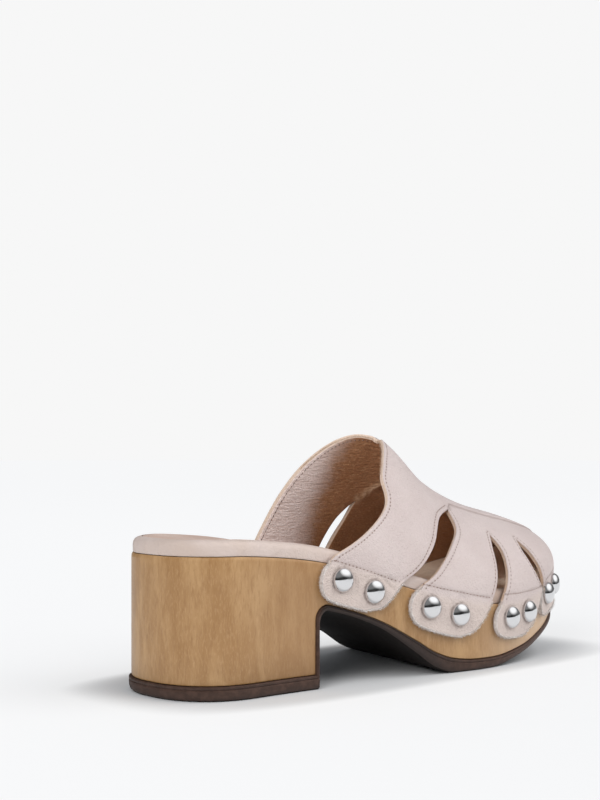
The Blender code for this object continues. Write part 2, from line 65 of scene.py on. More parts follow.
# x, lateral half width, medial half width
WAIST = (
    (62.0, 33.2, 32.2),
    (100.0, 38.0, 33.6),
    (138.0, 43.2, 40.2),
)

# Top of the wood along the shoe: x, z
WOOD_TOP = (
    (0.0, 57.6), (20.0, 57.5), (40.0, 56.2), (60.0, 53.8), (80.0, 49.4), (108.0, 40.7),
    (135.0, 33.2), (160.0, 29.4), (175.0, 28.6), (190.0, 29.8), (215.0, 35.0), (246.0, 42.5),
)
# Underside in front of the heel: x, wood z, rubber z
ARCH = (
    (67.5, 35.2, 32.4),
    (76.0, 33.0, 30.4),
    (95.0, 26.6, 23.4),
    (115.0, 16.6, 11.0),
    (128.0, 9.6, 2.6),
    (138.0, 6.5, 0.0),
    (150.0, 5.2, 0.0),
    (162.0, 5.0, 0.0),
    (186.0, 7.8, 4.0),
    (203.0, 12.0, 9.0),
    (220.0, 16.8, 14.2),
    (246.0, 24.6, 22.0),
)
# The tread follows the ball of the foot: how far in front of the lateral side its medial side lies, by x
TREAD_SHIFT = (
    (67.5, 0.0), (90.0, 2.5), (103.0, 9.5), (115.0, 19.0), (128.0, 22.0), (138.0, 21.0),
    (162.0, 20.0), (203.0, 10.0), (246.0, 0.0),
)
# Share of that shift at the seam of the rubber and the wood
TREAD_SHIFT_AT_WOOD = 0.75
ARCH_START_X, ARCH_WOOD_Z, ARCH_RUBBER_Z = ARCH[0]
HEEL_LIFT = 6.4
BREAST_X = 61.0
BREAST_RUBBER = 2.3
BREAST_TOP_Z = 29.0
BREAST_FAN = 12.0

# Side of each sole piece: share of its height from below, outset from the wood's edge
OUTSOLE_SIDE = (
    (0.0, -1.0), (0.03, -0.55), (0.08, -0.2), (0.15, 0.3), (0.24, 0.7), (0.38, 0.95), (0.55, 1.0),
    (0.71, 1.0), (0.74, 0.9), (0.765, 0.7), (0.79, 0.7), (0.815, 0.9), (0.84, 1.0), (0.95, 1.0), (1.0, 0.7),
)
# Rows of that side, from below, that belong to the tread
UNDERSIDE_ROWS = 2
WOOD_SIDE = (
    (0.0, -0.3), (0.012, 0.0), (0.25, 0.0), (0.5, 0.0), (0.75, 0.0), (0.965, 0.0), (0.985, -0.12),
    (1.0, -0.5),
)
FOOTBED_SIDE = (
    (0.0, -0.75), (0.05, -0.64), (0.12, -0.6), (0.35, -0.55), (0.55, -0.62), (0.68, -0.85), (0.77, -1.15),
    (0.85, -1.65), (0.915, -2.3), (0.96, -3.1), (0.985, -3.8), (0.99, -4.2), (0.955, -4.45), (0.955, -4.7),
    (0.99, -4.95), (1.0, -5.6),
)
# First row of the footbed's side that belongs to its sock sheet, and the rows of the seam below it
SOCK_ROW = 13
SOCK_SEAM_ROWS = (11, 12)
FOOTBED_THICKNESS = 6.8
FOOTBED_DISH = 1.6
DISH_POWER = 0.75
ACROSS = 14
HEEL_RUNGS = 30
HEEL_SIDE_RUNGS = 12
BREAST_RUNGS = 12
BREAST_TURN_RUNGS = 12
ARCH_RUNGS = 56
TOE_RUNGS = 48
FOOTBED_WAIST_RUNGS = 70

# Crest line of the last, and how full its ribs are at the side and at the crest
# x, y, z, side fullness, crest fullness
CREST = (
    (60.0, 0.0, 116.0, 0.28, 0.28),
    (100.0, 0.0, 112.5, 0.28, 0.30),
    (120.0, 0.5, 109.0, 0.28, 0.28),
    (135.0, 1.0, 101.3, 0.27, 0.25),
    (148.0, 2.0, 89.6, 0.36, 0.24),
    (165.0, 3.0, 79.5, 0.39, 0.32),
    (185.0, 5.0, 72.1, 0.48, 0.41),
    (206.0, 6.5, 67.3, 0.50, 0.47),
    (224.0, 7.0, 63.0, 0.44, 0.47),
)
CREST_END_X = 218.0
RIBS_SQUARE_TO_X = 150.0
UPPER_WALL = 2.4
UPRIGHT = 4.0

# Places on the upper are a side, a station and a level. A station is mm along the lateral sole edge from the
# toe tip, and the shorter medial edge is scaled to it. Level 0 is the bend, CREST_LEVEL the crest line, and a
# level below 0 is mm down a tab.
CREST_LEVEL = 80.0
WOOD_EDGE_LEVEL = -UPRIGHT
BACK_X = 62.0
SOLE_EDGE_MARGIN = 10.0
SOLE_EDGE_POINTS = 1500
# Step over which slopes are taken, and the least length that has a direction
REACH = 0.5
NO_LENGTH = 1e-12
# Collar edge from the crest to the first tab: level, lateral station, medial station
COLLAR = (
    (80.0, 139.2, 139.2),
    (70.0, 142.6, 146.2),
    (60.0, 148.0, 156.0),
    (50.0, 155.4, 165.0),
    (42.0, 161.4, 170.9),
    (34.5, 163.2, 175.0),
    (28.0, 168.2, 178.0),
    (16.0, 182.8, 182.4),
    (3.0, 198.8, 187.0),
)
# The rim is collar behind one station above its bend and behind another below it, down to the collar's end
COLLAR_BEND_LEVEL = 30.0
COLLAR_BEHIND = (138.6, 164.0)
COLLAR_END_LEVEL = 1.0
FIRST_TAB_BACK = {LATERAL: 205.2, MEDIAL: 190.2}
# Slots between the tabs
# apex station, apex level, middle station, foot station, upper width, middle width, foot width
SLOTS = {
    LATERAL: (
        (115.0, 46.4, 136.8, 161.4, 11.9, 9.0, 9.6),
        (93.4, 36.8, 99.6, 109.0, 7.9, 8.4, 8.0),
        (72.8, 33.6, 70.8, 65.0, 7.0, 7.4, 3.0),
    ),
    MEDIAL: (
        (127.4, 42.4, 136.0, 142.4, 6.0, 6.6, 8.0),
        (95.2, 37.0, 98.2, 100.8, 6.0, 6.4, 6.0),
        (73.2, 34.0, 70.8, 64.2, 5.4, 5.6, 3.0),
    ),
}
SLOT_WIDTHS_AT = (0.0, 0.30, 0.60, 1.0)
SLOT_POINTS = 10
SLOT_CROWDING = 1.5
TAB_DEPTHS = (16.4, 16.2, 15.8, 13.6)
# Edges of a tab: mm behind its corner, share of its depth
TAB_BACK = ((0.0, 0.0), (3.0, 0.22), (4.4, 0.50), (3.2, 0.80), (-2.5, 0.97))
TAB_FRONT = ((18.0, 0.95), (10.5, 0.76), (4.6, 0.38), (0.0, 0.0))
# More than any tab reaches behind its corner
TAB_BULGE = 6.0
# Lap seam beside the crest, from the first slot to the toe: station, level
LAP_SEAM = (
    (114.0, 47.6), (108.0, 53.0), (95.0, 55.0), (81.0, 54.8), (63.5, 52.0), (48.0, 47.0),
    (28.0, 38.0), (15.0, 22.0), (10.0, 0.0), (9.0, -15.6),
)
LAP_STEP = 0.6
LAP_FADE = 26.0
LAP_RUN_OUT = 8.0
# How the lap's cut edge rises: mm from the seam, share of the step
LAP_RISE = ((0.0, 0.0), (0.25, 0.75), (0.8, 1.0))
# Seam across the top of each tab: level at its back corner, in its middle and at its front corner
TAB_SEAMS = ((-2.2, -2.8, -3.0), (-0.6, 0.0, -0.9), (1.0, 0.0, -1.6), (-0.6, 0.0, 0.0))
TAB_SEAM_INSET = 1.65
SEAM_ROWS = (-1.1, -0.45, 0.0, 0.45, 1.1)
SEAM_DEPTH = 0.22
SEAM_WIDTH = 0.42
# Spacing of the points along a seam, and of those that its distance is measured from
SEAM_STEP = 1.4
SEAM_SAMPLE = 4.0
# Levels between which the edge goes over from raw to sewn, and from smooth to raw
RAW_END, SEWN_START = -3.5, -1.0
SMOOTH_END, RAW_START = -2.0, -5.0
# Lines of painted shade on the outer face (seam grooves, lap edge, stud rims): half width in mm, darkness
EDGE_SEAM_SHADE = (0.4, 0.18)
TAB_SEAM_SHADE = (0.5, 0.4)
LAP_SHADE = (0.32, 0.65)
STUD_SHADE = (0.25, 0.7)
# Edge of the leather and its lining, from the outer face to the inner: mm in from the edge, mm above the last
EDGE_PROFILE = (
    (0.95, 2.40), (0.50, 2.34), (0.16, 2.10), (0.0, 1.72), (0.03, 1.32),
    (0.24, 1.10), (0.06, 0.88), (0.08, 0.46), (0.30, 0.12), (0.80, 0.0),
)
# Rows of it that belong to the leather face: in a slot, at the collar, and where the edge is raw
LEATHER_ROWS = 3
COLLAR_LEATHER_ROWS = 2
RAW_LEATHER_ROWS = 1
RAW_EDGE_LEVEL = -3.0
LINING_ROWS = 1
# Material slots of the upper
LEATHER_SLOT, CUT_EDGE_SLOT, LINING_SLOT = range(3)
# Rows of points beside the edge, and the groove of the stitches there
EDGE_ROWS = (1.25, 1.65, 2.1, 2.9, 3.9)
EDGE_SEAM = 1.65
LINING_EDGE_SEAM = 2.05
EDGE_ROLL = 0.12
EDGE_ROLL_AT = 0.8
EDGE_ROLL_WIDTH = 0.7
# Share of a row's distance that its points keep from every other edge
ROW_CLEARANCE = 0.93
# Spacing of the points of the wall, and the room they leave at the rim, the toe tip and the crest line
RIM_MARGIN = 1.4
TOE_MARGIN = 0.3
CREST_MARGIN = 0.5
CLOSEST = 0.42
EDGE_STEP = 1.5
WALL_STEP = 1.55
TAB_STEP = 0.85
TAB_GRID = 0.5
TAB_TOP_LEVEL = 2.5
STATION_GRID = 0.9
LEVEL_GRID = 0.8
CREST_GRID = 0.5
LOWEST_LEVEL = -20.5
MERGE_DISTANCE = 1e-5
# Creases of the outer face: side, half width in mm, share of CREASE_DEPTH (minus stands proud),
# then the station and level of each point
CREASES = (
    (LATERAL, 1.0, 0.26, ((178.0, -3.5), (174.0, -5.0), (170.4, -6.8))),
    (LATERAL, 0.9, 0.22, ((175.9, -2.5), (172.4, -3.7), (168.9, -5.1))),
    (LATERAL, 0.9, 0.18, ((175.3, -5.2), (173.2, -6.2), (171.0, -7.1))),
    (LATERAL, 0.8, -0.16, ((177.2, -2.2), (173.3, -4.3), (169.6, -6.0))),
    (LATERAL, 1.3, 0.28, ((192.7, -5.6), (190.9, -9.1), (191.2, -13.8))),
    (LATERAL, 1.0, 0.22, ((189.4, -5.4), (188.8, -6.7), (188.2, -8.0))),
    (LATERAL, 0.9, 0.20, ((130.7, -1.1), (130.5, -2.7), (130.4, -4.2))),
    (LATERAL, 0.9, 0.17, ((128.1, -1.7), (128.5, -3.1), (128.7, -4.5))),
    (LATERAL, 1.1, 0.24, ((139.5, -6.3), (138.6, -8.0), (138.1, -9.7))),
    (LATERAL, 1.0, 0.20, ((88.6, -4.0), (89.4, -8.0), (88.8, -12.0))),
    (LATERAL, 5.0, 0.15, ((152.0, 20.0), (140.0, 12.0), (131.0, 8.0))),
    (LATERAL, 4.0, 0.11, ((112.0, 47.0), (104.0, 41.0), (98.0, 38.0))),
    (MEDIAL, 0.8, 0.28, ((160.0, -3.5), (156.0, -5.0), (152.4, -6.8))),
    (MEDIAL, 1.2, 0.26, ((176.0, -5.6), (174.6, -9.1), (175.0, -13.8))),
    (MEDIAL, 1.0, 0.22, ((122.0, -4.2), (121.0, -8.0), (120.6, -11.0))),
    (MEDIAL, 4.0, 0.13, ((140.0, 42.0), (130.0, 34.0), (125.0, 24.0))),
)
CREASE_DEPTH = 3.2
CREASE_SAMPLE = 3.0
CREASE_END_REACH = 3.0
CREASE_END_FADE = 0.6
# Rows of points along the narrow creases, the half width that these stay under, and the spacing of the points
CREASE_ROWS = (-1.3, -0.65, 0.0, 0.65, 1.3)
NARROW_CREASE = 2.0
CREASE_STEP = 0.65
# Ridge of the lining's own seam in front of the inner slot: station, level
LINING_SEAM = ((127.6, 43.0), (125.4, 47.5), (122.8, 54.0), (120.5, 61.0), (118.5, 68.0))
LINING_RIDGE = 1.2
LINING_RIDGE_WIDTH = 0.9

# Two studs on each tab: mm from the tab's back corner, mm between them, and the mm below the wood's top edge
# of the back one and of the front one
STUDS = (
    (6.8, 17.0, 5.6, 6.9),
    (6.8, 17.0, 5.8, 6.2),
    (6.8, 15.2, 6.2, 5.8),
    (3.4, 13.5, 3.5, 3.1),
)
# radius, height
STUD_PROFILE = (
    (4.7, -0.75), (5.12, -0.6), (5.22, -0.2), (5.2, 0.35), (5.02, 0.85), (4.72, 1.35), (4.3, 1.8),
    (3.75, 2.22), (3.1, 2.56), (2.35, 2.83), (1.55, 3.0), (0.75, 3.08),
)
STUD_CROWN = 3.1
STUD_SIDES = 40
# How deep a stud pulls the leather in, the radii between which it does, and how soon the pull fades
STUD_PULL = 0.12
STUD_PULL_START = 5.0
STUD_PULL_END = 25.0
STUD_PULL_REACH = 3.4
# Rings of points round each stud, and the crease its rim presses into the leather
STUD_RINGS = (4.4, 4.9, 5.25, 5.6, 6.1, 6.9)
STUD_RING_POINTS = 40
STUD_CREASE_RADIUS = 5.3
STUD_CREASE_DEPTH = 0.35
STUD_CREASE_WIDTH = 0.30

STITCH_PITCH = 2.0
STITCH_LENGTH = 1.25
STITCH_RADIUS = 0.24
NEEDLE_HOLE_LENGTH = 1.05
NEEDLE_HOLE_RADIUS = 0.28
# Level above which the edge is sewn, spacing of the points of a tab's seam, and the fewest points of a run
STITCHED_ABOVE = -1.5
STITCH_LINE_STEP = 1.0
SHORTEST_RUN = 4
# Longer than any seam, in metres
PAST_ANY_SEAM = 10.0
BEAD_SEGMENTS = 10
BEAD_RINGS = 6
BEAD_FLATNESS = 0.6
FIBRE_PITCH = 0.11
FIBRE_LENGTH = 1.6
FIBRE_RADIUS = 0.07
FIBRE_SIDES = 3
FIBRE_ROOT = 0.12
# Rows of fibres at shares of the wall's thickness, and the level and station past which the collar has them
RAW_FIBRE_ROWS = (0.35, 0.7, 0.92)
COLLAR_FIBRE_ROWS = (0.3,)
FIBRE_COLLAR_LEVEL = 44.0
FIBRE_COLLAR_STATION = 130.0
# Share of the thickness at which fibres stand straight out, and how they fan away from it
FIBRE_MIDDLE = 0.3
FIBRE_FAN = 1.2
# Chances, each as its least value, its greatest and its seed: lean along X, Y and Z, and share of the length
FIBRE_LEAN = ((-0.8, 0.8, 3), (-0.8, 0.8, 5), (-0.9, 0.7, 7))
FIBRE_SHARE = (0.3, 1.0, 11)

# Studio, in metres: name, place, target, size and power of each lamp
TOP_LIGHT = ("top_light", (0.62, -0.73, 0.90), (0.0, 0.0, 0.03), (1.2, 1.2), 11.6)
COLLAR_LIGHT = ("collar_light", (-0.92, -0.42, 0.62), (0.0, 0.0, 0.07), (0.5, 0.5), 6.6)
# How much of a small lamp's light a wide one gives, and the light from all round
LAMP_SPREAD = 0.82
ROOM_LIGHT = 0.46
ROOM_TINT = (0.96, 1.0, 1.06)
BACKDROP = 0.93
# Reflectance of the floor under the shoe and away from it, and half sides in mm of the rounded patch between
FLOOR_NEAR = 0.64
FLOOR_FAR = 0.40
FLOOR_PATCH = (132.0, 54.0)
FLOOR_PATCH_POWER = 4.0
FLOOR_PATCH_EDGE = (0.6, 1.7)
WALLS_RADIUS = 2.2
# Brightness of the walls low down and high up, and the shares of the radius between which it changes
NEAR_WALL, NEAR_WALL_RISE = (0.025, 0.24), (0.18, 0.5)
FAR_WALL, FAR_WALL_RISE = (0.16, 0.12), (0.0, 0.7)
NEAR_TO_FAR = (-0.25, 0.45)
# Glow on the walls: the way to its middle, and the cosines of its outer and its inner angle
GLOW = 1.3
GLOW_TOWARDS = (0.44, -0.47, 0.766)
GLOW_SPREAD = (0.68, 0.95)
BACKDROP_RADIUS = 9.0
SURROUND_PIECES = 32
SURROUND_ROWS = 10

# Where finishes change along the shoe, in mm of the imported part's frame
# Lining: its painted pink sheen fades into brown, painted shade deepens it under the instep, painted light
# pales it at the toe
LINING_PAINTED_SHEEN_FADES = (-6.0, 13.0)
LINING_PAINTED_SHADE = (2.0, 22.0)
LINING_PAINTED_LIGHT = (50.0, 90.0)
# Painted shade where the upper covers the footbed, and painted light towards its toe
FOOTBED_PAINTED_SHADE = (2.0, 34.0)
FOOTBED_PAINTED_LIGHT = (50.0, 85.0)
HEEL_DEEPENS, HEEL_ENDS = (-108.0, -66.0), (-20.0, -60.0)
# Painted light on the wood towards the toe
WOOD_PAINTED_LIGHT = (15.0, 80.0)
# Painted shade on the rubber's side along the arch
ARCH_SHADE_STARTS, ARCH_SHADE_ENDS = (-63.0, -58.0), (24.0, -6.0)
# Painted light on the rubber towards the toe
RUBBER_PAINTED_LIGHT = (30.0, 90.0)
# Height from which fibres have the collar's colour
FIBRES_TAN = (56.0, 64.0)
# Values of a noise between which a finish changes
NOISE_SPAN = (0.3, 0.7)
NARROW_SPAN = (0.35, 0.65)
SPECKLE_SPAN = (0.35, 0.75)
PORE_SPAN = (0.3, 0.8)

# Camera in the shoe's own frame
CAMERA_AT = (-348.8, -464.4, 102.25)
CAMERA_TURN = 0.749
CAMERA_LENS = 64.1
CAMERA_SHIFT = 0.0565
CAMERA_SENSOR = 36.0
CAMERA_CLIP = 0.01

# Where the shoe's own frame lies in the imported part's frame
WOOD_LOW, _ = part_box("wooden_sole")
ORIGIN = np.array([WOOD_LOW.x, WOOD_LOW.y + BALL_HALF_WIDTH[LATERAL] * MM, 0.0])


# Curves

def smooth(rows, at, column=1, end_slopes=None):
    """Monotone cubic through the rows' first column and another one."""
    xs = np.array([row[0] for row in rows], float)
    ys = np.array([row[column] for row in rows], float)
    steps = np.diff(xs)
    rates = np.diff(ys) / steps
    slopes = np.concatenate([rates[:1], np.zeros(len(xs) - 2), rates[-1:]])
    for i in range(1, len(xs) - 1):
        if rates[i - 1] * rates[i] > 0:
            before = 2 * steps[i] + steps[i - 1]
            after = steps[i] + 2 * steps[i - 1]
            slopes[i] = (before + after) / (before / rates[i - 1] + after / rates[i])
    if end_slopes is not None:
        slopes[0], slopes[-1] = end_slopes
    at = np.clip(at, xs[0], xs[-1])
    i = np.clip(np.searchsorted(xs, at) - 1, 0, len(steps) - 1)
    t = (at - xs[i]) / steps[i]
    start = (1 - t) ** 2 * ((1 + 2 * t) * ys[i] + t * steps[i] * slopes[i])
    end = t ** 2 * ((3 - 2 * t) * ys[i + 1] + (t - 1) * steps[i] * slopes[i + 1])
    return start + end


def flow(points, step, before=None):
    """Points about a step apart on a smooth curve through the given ones, coming from any one before them."""
    padded = [before or 2 * points[0] - points[1], *points, 2 * points[-1] - points[-2]]
    curve = [points[0]]
    for a, b, c, d in zip(padded, padded[1:], padded[2:], padded[3:]):
        pieces = max(1, round((c - b).length / step))
        for k in range(1, pieces + 1):
            t = k / pieces
            bend = (2 * a - 5 * b + 4 * c - d) * t + (3 * b - a - 3 * c + d) * t ** 2
            curve.append(b + 0.5 * t * (c - a + bend))
    return curve


def unit(vectors):
    """Vectors of length 1, or 0 where there is no direction."""
    return vectors / np.maximum(np.linalg.norm(vectors, axis=-1, keepdims=True), NO_LENGTH)


def bell(distance, width):
    return np.exp(-(distance / width) ** 2)


def shade(away, line):
    """Painted shade at some distances from a line of shade."""
    width, dark = line
    return dark * bell(away, width)


def fade(levels, start, end):
    """Share from 0 at one level to 1 at another."""
    return np.clip((levels - start) / (end - start), 0, 1)


# Sole outline

def sole_half_width(x, side):
    """Distance of the sole edge from the long axis at one x, and its outward normal along and across."""
    ball_x, ball_width = BALL_X[side], BALL_HALF_WIDTH[side]
    if x < HEEL_ROUND:
        along = (HEEL_ROUND - x) / HEEL_ROUND
        across = (1 - along ** HEEL_POWER) ** (1 / HEEL_POWER)
        width = HEEL_HALF_WIDTH * across
        power = HEEL_POWER - 1
        normal = Vector((-along ** power / HEEL_ROUND, across ** power / HEEL_HALF_WIDTH))
    elif x < ball_x:
        column = 1 if side == LATERAL else 2
        waist = [(row[0], row[column]) for row in WAIST]
        rows = [(HEEL_ROUND, HEEL_HALF_WIDTH), *waist, (ball_x, ball_width)]
        before, width, after = smooth(rows, np.array([x - REACH, x, x + REACH]), end_slopes=(0, 0)).tolist()
        normal = Vector((before - after, 2 * REACH))
    else:
        tip = side * TOE_TIP_Y
        toe_length = LENGTH - ball_x
        along = min((x - ball_x) / toe_length, 1.0)
        across = (1 - along ** TOE_POWER) ** (1 / TOE_POWER)
        width = tip + (ball_width - tip) * across
        power = TOE_POWER - 1
        normal = Vector((along ** power / toe_length, across ** power / (ball_width - tip)))
    return width, normal.normalized()


def sole_edge_point(x, side, outset):
    width, normal = sole_half_width(x, side)
    return x + normal.x * outset, side * (width + normal.y * outset)


def heel_stations(count):
    turns = [k * math.pi / 2 / count for k in range(count + 1)]
    return [HEEL_ROUND * (1 - math.cos(turn) ** (2 / HEEL_POWER)) for turn in turns]


def toe_stations(start, count):
    turns = [k * math.pi / 2 / count for k in range(1, count + 1)]
    return [start + (LENGTH - start) * math.sin(turn) ** (2 / TOE_POWER) for turn in turns]


def even_stations(start, end, count):
    return [start + (end - start) * k / count for k in range(1, count + 1)]


def wood_top(x):
    return smooth(WOOD_TOP, x)


def breast_turn(corner_x, corner_z, end_z, turn):
    """Quarter oval from the heel's upright breast into the arch."""
    reach = ARCH_START_X - corner_x
    return ARCH_START_X - reach * math.cos(turn), corner_z + (end_z - corner_z) * math.sin(turn)


def sole_rungs():
    """Rungs from heel to toe: under the rubber, under the wood and above it, as x, z and medial shift."""
    rungs = []
    corner_x = BREAST_X + BREAST_RUBBER
    rubber_top_z = BREAST_TOP_Z - BREAST_RUBBER
    for x in heel_stations(HEEL_RUNGS) + even_stations(HEEL_ROUND, BREAST_X, HEEL_SIDE_RUNGS):
        lean = max(0.0, (x - HEEL_ROUND) / (BREAST_X - HEEL_ROUND))
        top_x = x - BREAST_FAN * lean
        under = (x + BREAST_RUBBER * lean, 0.0, 0.0)
        rungs.append((under, (x, HEEL_LIFT, 0.0), (top_x, wood_top(top_x), 0.0)))
    for rise in even_stations(0.0, 1.0, BREAST_RUNGS):
        top_x = BREAST_X - BREAST_FAN * (1 - rise)
        wood = (BREAST_X, HEEL_LIFT + rise * (BREAST_TOP_Z - HEEL_LIFT), 0.0)
        rungs.append(((corner_x, rise * rubber_top_z, 0.0), wood, (top_x, wood_top(top_x), 0.0)))
    for share in even_stations(0.0, 1.0, BREAST_TURN_RUNGS):
        turn = share * math.pi / 2
        top_x = BREAST_X + (ARCH_START_X - BREAST_X) * share
        wood = breast_turn(BREAST_X, BREAST_TOP_Z, ARCH_WOOD_Z, turn)
        rubber = breast_turn(corner_x, rubber_top_z, ARCH_RUBBER_Z, turn)
        rungs.append(((*rubber, 0.0), (*wood, 0.0), (top_x, wood_top(top_x), 0.0)))
    ball_x = BALL_X[LATERAL]
    for x in even_stations(ARCH_START_X, ball_x, ARCH_RUNGS) + toe_stations(ball_x, TOE_RUNGS):
        shift = smooth(TREAD_SHIFT, x)
        under = (x, smooth(ARCH, x, 2), shift)
        wood = (x, smooth(ARCH, x, 1), TREAD_SHIFT_AT_WOOD * shift)
        rungs.append((under, wood, (x, wood_top(x), 0.0)))
    return rungs


# Meshes

def in_part(points):
    """Points in mm of the shoe's own frame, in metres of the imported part's frame."""
    return np.asarray(points, float) * MM + ORIGIN


def plain_mesh(name, points, edges, faces, materials=()):
    mesh = bpy.data.meshes.new(name)
    mesh.from_pydata(points, edges, faces)
    for material in materials:
        mesh.materials.append(material)
    return mesh


def linked(name, data):
    """New object in the scene."""
    thing = bpy.data.objects.new(name, data)
    bpy.context.scene.collection.objects.link(thing)
    return thing


def make_object(name, points, faces, materials, slots=None, sharp=40.0, attributes=None):
    """Mesh object from points in mm of the shoe's own frame, with a material slot for each face."""
    mesh = plain_mesh(name, in_part(points).tolist(), [], faces, materials)
    if slots is not None:
        mesh.polygons.foreach_set("material_index", slots)
    for title, values in (attributes or {}).items():
        layer = mesh.attributes.new(title, "FLOAT", "POINT")
        layer.data.foreach_set("value", np.asarray(values, np.float32))
    mesh.shade_smooth()
    mesh.set_sharp_from_angle(angle=math.radians(sharp))
    return linked(name, mesh)


def turned_rings(profile, sides):
    """Rings of points, one for each radius and height of a profile, and the outward faces between them."""
    turns = [2 * math.pi * k / sides for k in range(sides)]
    round_once = [(math.cos(turn), math.sin(turn)) for turn in turns]
    points = [(reach * x, reach * y, height) for reach, height in profile for x, y in round_once]
    faces = []
    for start in range(0, sides * (len(profile) - 1), sides):
        for k in range(sides):
            a, b = start + k, start + (k + 1) % sides
            faces.append((a, b, b + sides, a + sides))
    return points, faces


def slab_ring(points, rungs, share, outset):
    """Ring round a slab at one share of its height: numbers of the one or two points added for each rung."""
    ring = []
    for low, high in rungs:
        x, z, shift = Vector(low).lerp(Vector(high), share)
        x_on = {LATERAL: x, MEDIAL: x + shift}
        sides = SIDES if 0.0 < x < LENGTH else SIDES[:1]
        ring.append(list(range(len(points), len(points) + len(sides))))
        points.extend((*sole_edge_point(x_on[side], side, outset), z) for side in sides)
    return ring


def slab_cap(points, ring, dish):
    """Upward faces across a ring, with points added between its sides that sink by the dish."""
    strips = []
    for pair in ring:
        strip = pair[:1]
        if len(pair) == 2:
            a, b = (np.array(points[number]) for number in pair)
            for k in range(1, ACROSS):
                t = k / ACROSS
                middle = a + t * (b - a)
                middle[2] -= dish * (4 * t * (1 - t)) ** DISH_POWER
                strip.append(len(points))
                points.append(tuple(middle))
            strip.append(pair[1])
        strips.append(strip)
    faces = []
    for a, b in zip(strips, strips[1:]):
        for k in range(ACROSS):
            corners = [strip[min(i, len(strip) - 1)] for strip, i in ((a, k), (b, k), (b, k + 1), (a, k + 1))]
            faces.append(list(dict.fromkeys(corners)))
    return faces


def sole_slab(rungs, rows, dish=0.0):
    """Solid along the sole outline: its points, its faces, and the row of each face, -1 for the lower cap."""
    points = []
    faces = []
    face_rows = []
    rings = [slab_ring(points, rungs, share, outset) for share, outset in rows]
    for row, (ring, above) in enumerate(zip(rings, rings[1:])):
        for i in range(len(rungs) - 1):
            lateral = (ring[i][0], ring[i + 1][0], above[i + 1][0], above[i][0])
            medial = (ring[i][-1], above[i][-1], above[i + 1][-1], ring[i + 1][-1])
            faces += [lateral, medial]
            face_rows += [row, row]
    lower = [face[::-1] for face in slab_cap(points, rings[0], 0.0)]
    upper = slab_cap(points, rings[-1], dish)
    face_rows += [-1] * len(lower) + [len(rows) - 1] * len(upper)
    return points, faces + lower + upper, face_rows


# Last: the inner face of the upper, at arrays of places

def sole_edge_table(side):
    """Distances from the toe tip along the sole edge, and the edge's x, y and normal there."""
    start = BACK_X - SOLE_EDGE_MARGIN
    xs = [LENGTH, *reversed(toe_stations(start, SOLE_EDGE_POINTS)[:-1]), start]
    rows = []
    for x in xs:
        width, normal = sole_half_width(x, side)
        rows.append((x, side * width, normal.x, side * normal.y))
    table = np.array(rows)
    lengths = np.hypot(np.diff(table[:, 0]), np.diff(table[:, 1]))
    return np.concatenate([[0.0], np.cumsum(lengths)]), table


SOLE_EDGE = {side: sole_edge_table(side) for side in SIDES}


def edge_distance(side, x):
    distances, table = SOLE_EDGE[side]
    return float(np.interp(-x, -table[:, 0], distances))


STATION_SCALE = {side: edge_distance(side, BACK_X) / edge_distance(LATERAL, BACK_X) for side in SIDES}
SQUARE_TO = {side: edge_distance(side, RIBS_SQUARE_TO_X) for side in SIDES}


def sole_edge(side, stations):
    """Points and outward normals of the sole edge at some stations."""
    distances, table = SOLE_EDGE[side]
    run = np.asarray(stations) * STATION_SCALE[side]
    x, y, along, across = (np.interp(run, distances, column) for column in table.T)
    flat = np.zeros_like(x)
    return np.stack([x, y, flat], -1), unit(np.stack([along, across, flat], -1))


def crest_x(side, stations):
    """Where ribs meet the crest line: square to it at the waist, fanning out round the toe."""
    run = stations * STATION_SCALE[side]
    turn_at = SQUARE_TO[side]
    share = 1 - run / turn_at
    reach = CREST_END_X - RIBS_SQUARE_TO_X
    fan = turn_at * share * (1 - share) ** 2 + reach * share ** 2 * (3 - 2 * share)
    return RIBS_SQUARE_TO_X + np.where(run >= turn_at, turn_at - run, fan)


def crest_slope(x):
    return (smooth(CREST, x + REACH, 2) - smooth(CREST, x - REACH, 2)) / (2 * REACH)


def ribs(side, stations):
    """Four control points of each rib of the last, from the bend at the sole edge to the crest line."""
    edge, normal = sole_edge(side, stations)
    foot = edge + GAP * normal
    foot[:, 2] = wood_top(foot[:, 0]) + UPRIGHT
    top_x = crest_x(side, stations)
    y, z, side_fullness, crest_fullness = (smooth(CREST, top_x, column) for column in range(1, 5))
    top = np.stack([top_x, y, z], -1)
    outwards = foot - top
    outwards[:, 2] = crest_slope(top_x) * outwards[:, 0]
    low = foot.copy()
    low[:, 2] += side_fullness * (z - foot[:, 2])
    return foot, low, top + crest_fullness[:, None] * outwards, top


def fold(places):
    """Places that ran past the crest line or the toe tip, put on the other side."""
    places = np.array(places, float)
    over = places[:, 2] > CREST_LEVEL
    places[over, 2] = 2 * CREST_LEVEL - places[over, 2]
    past = places[:, 1] < 0
    places[:, 1] = np.abs(places[:, 1])
    places[over ^ past, 0] *= -1
    return places


def by_side(places, width, work):
    """Work done on the places of each side, gathered in one array."""
    places = fold(places)
    gathered = np.empty((len(places), width))
    for side in SIDES:
        rows = places[:, 0] == side
        if rows.any():
            gathered[rows] = work(side, places[rows, 1], places[rows, 2])
    return gathered


def last_points(places):
    def work(side, stations, levels):
        foot, low, high, top = ribs(side, stations)
        t = (np.clip(levels, 0.0, CREST_LEVEL) / CREST_LEVEL)[:, None]
        points = (1 - t) ** 3 * foot + 3 * t * (1 - t) ** 2 * low + 3 * t ** 2 * (1 - t) * high + t ** 3 * top
        points[:, 2] += np.minimum(levels, 0.0)
        return points
    return by_side(places, 3, work)


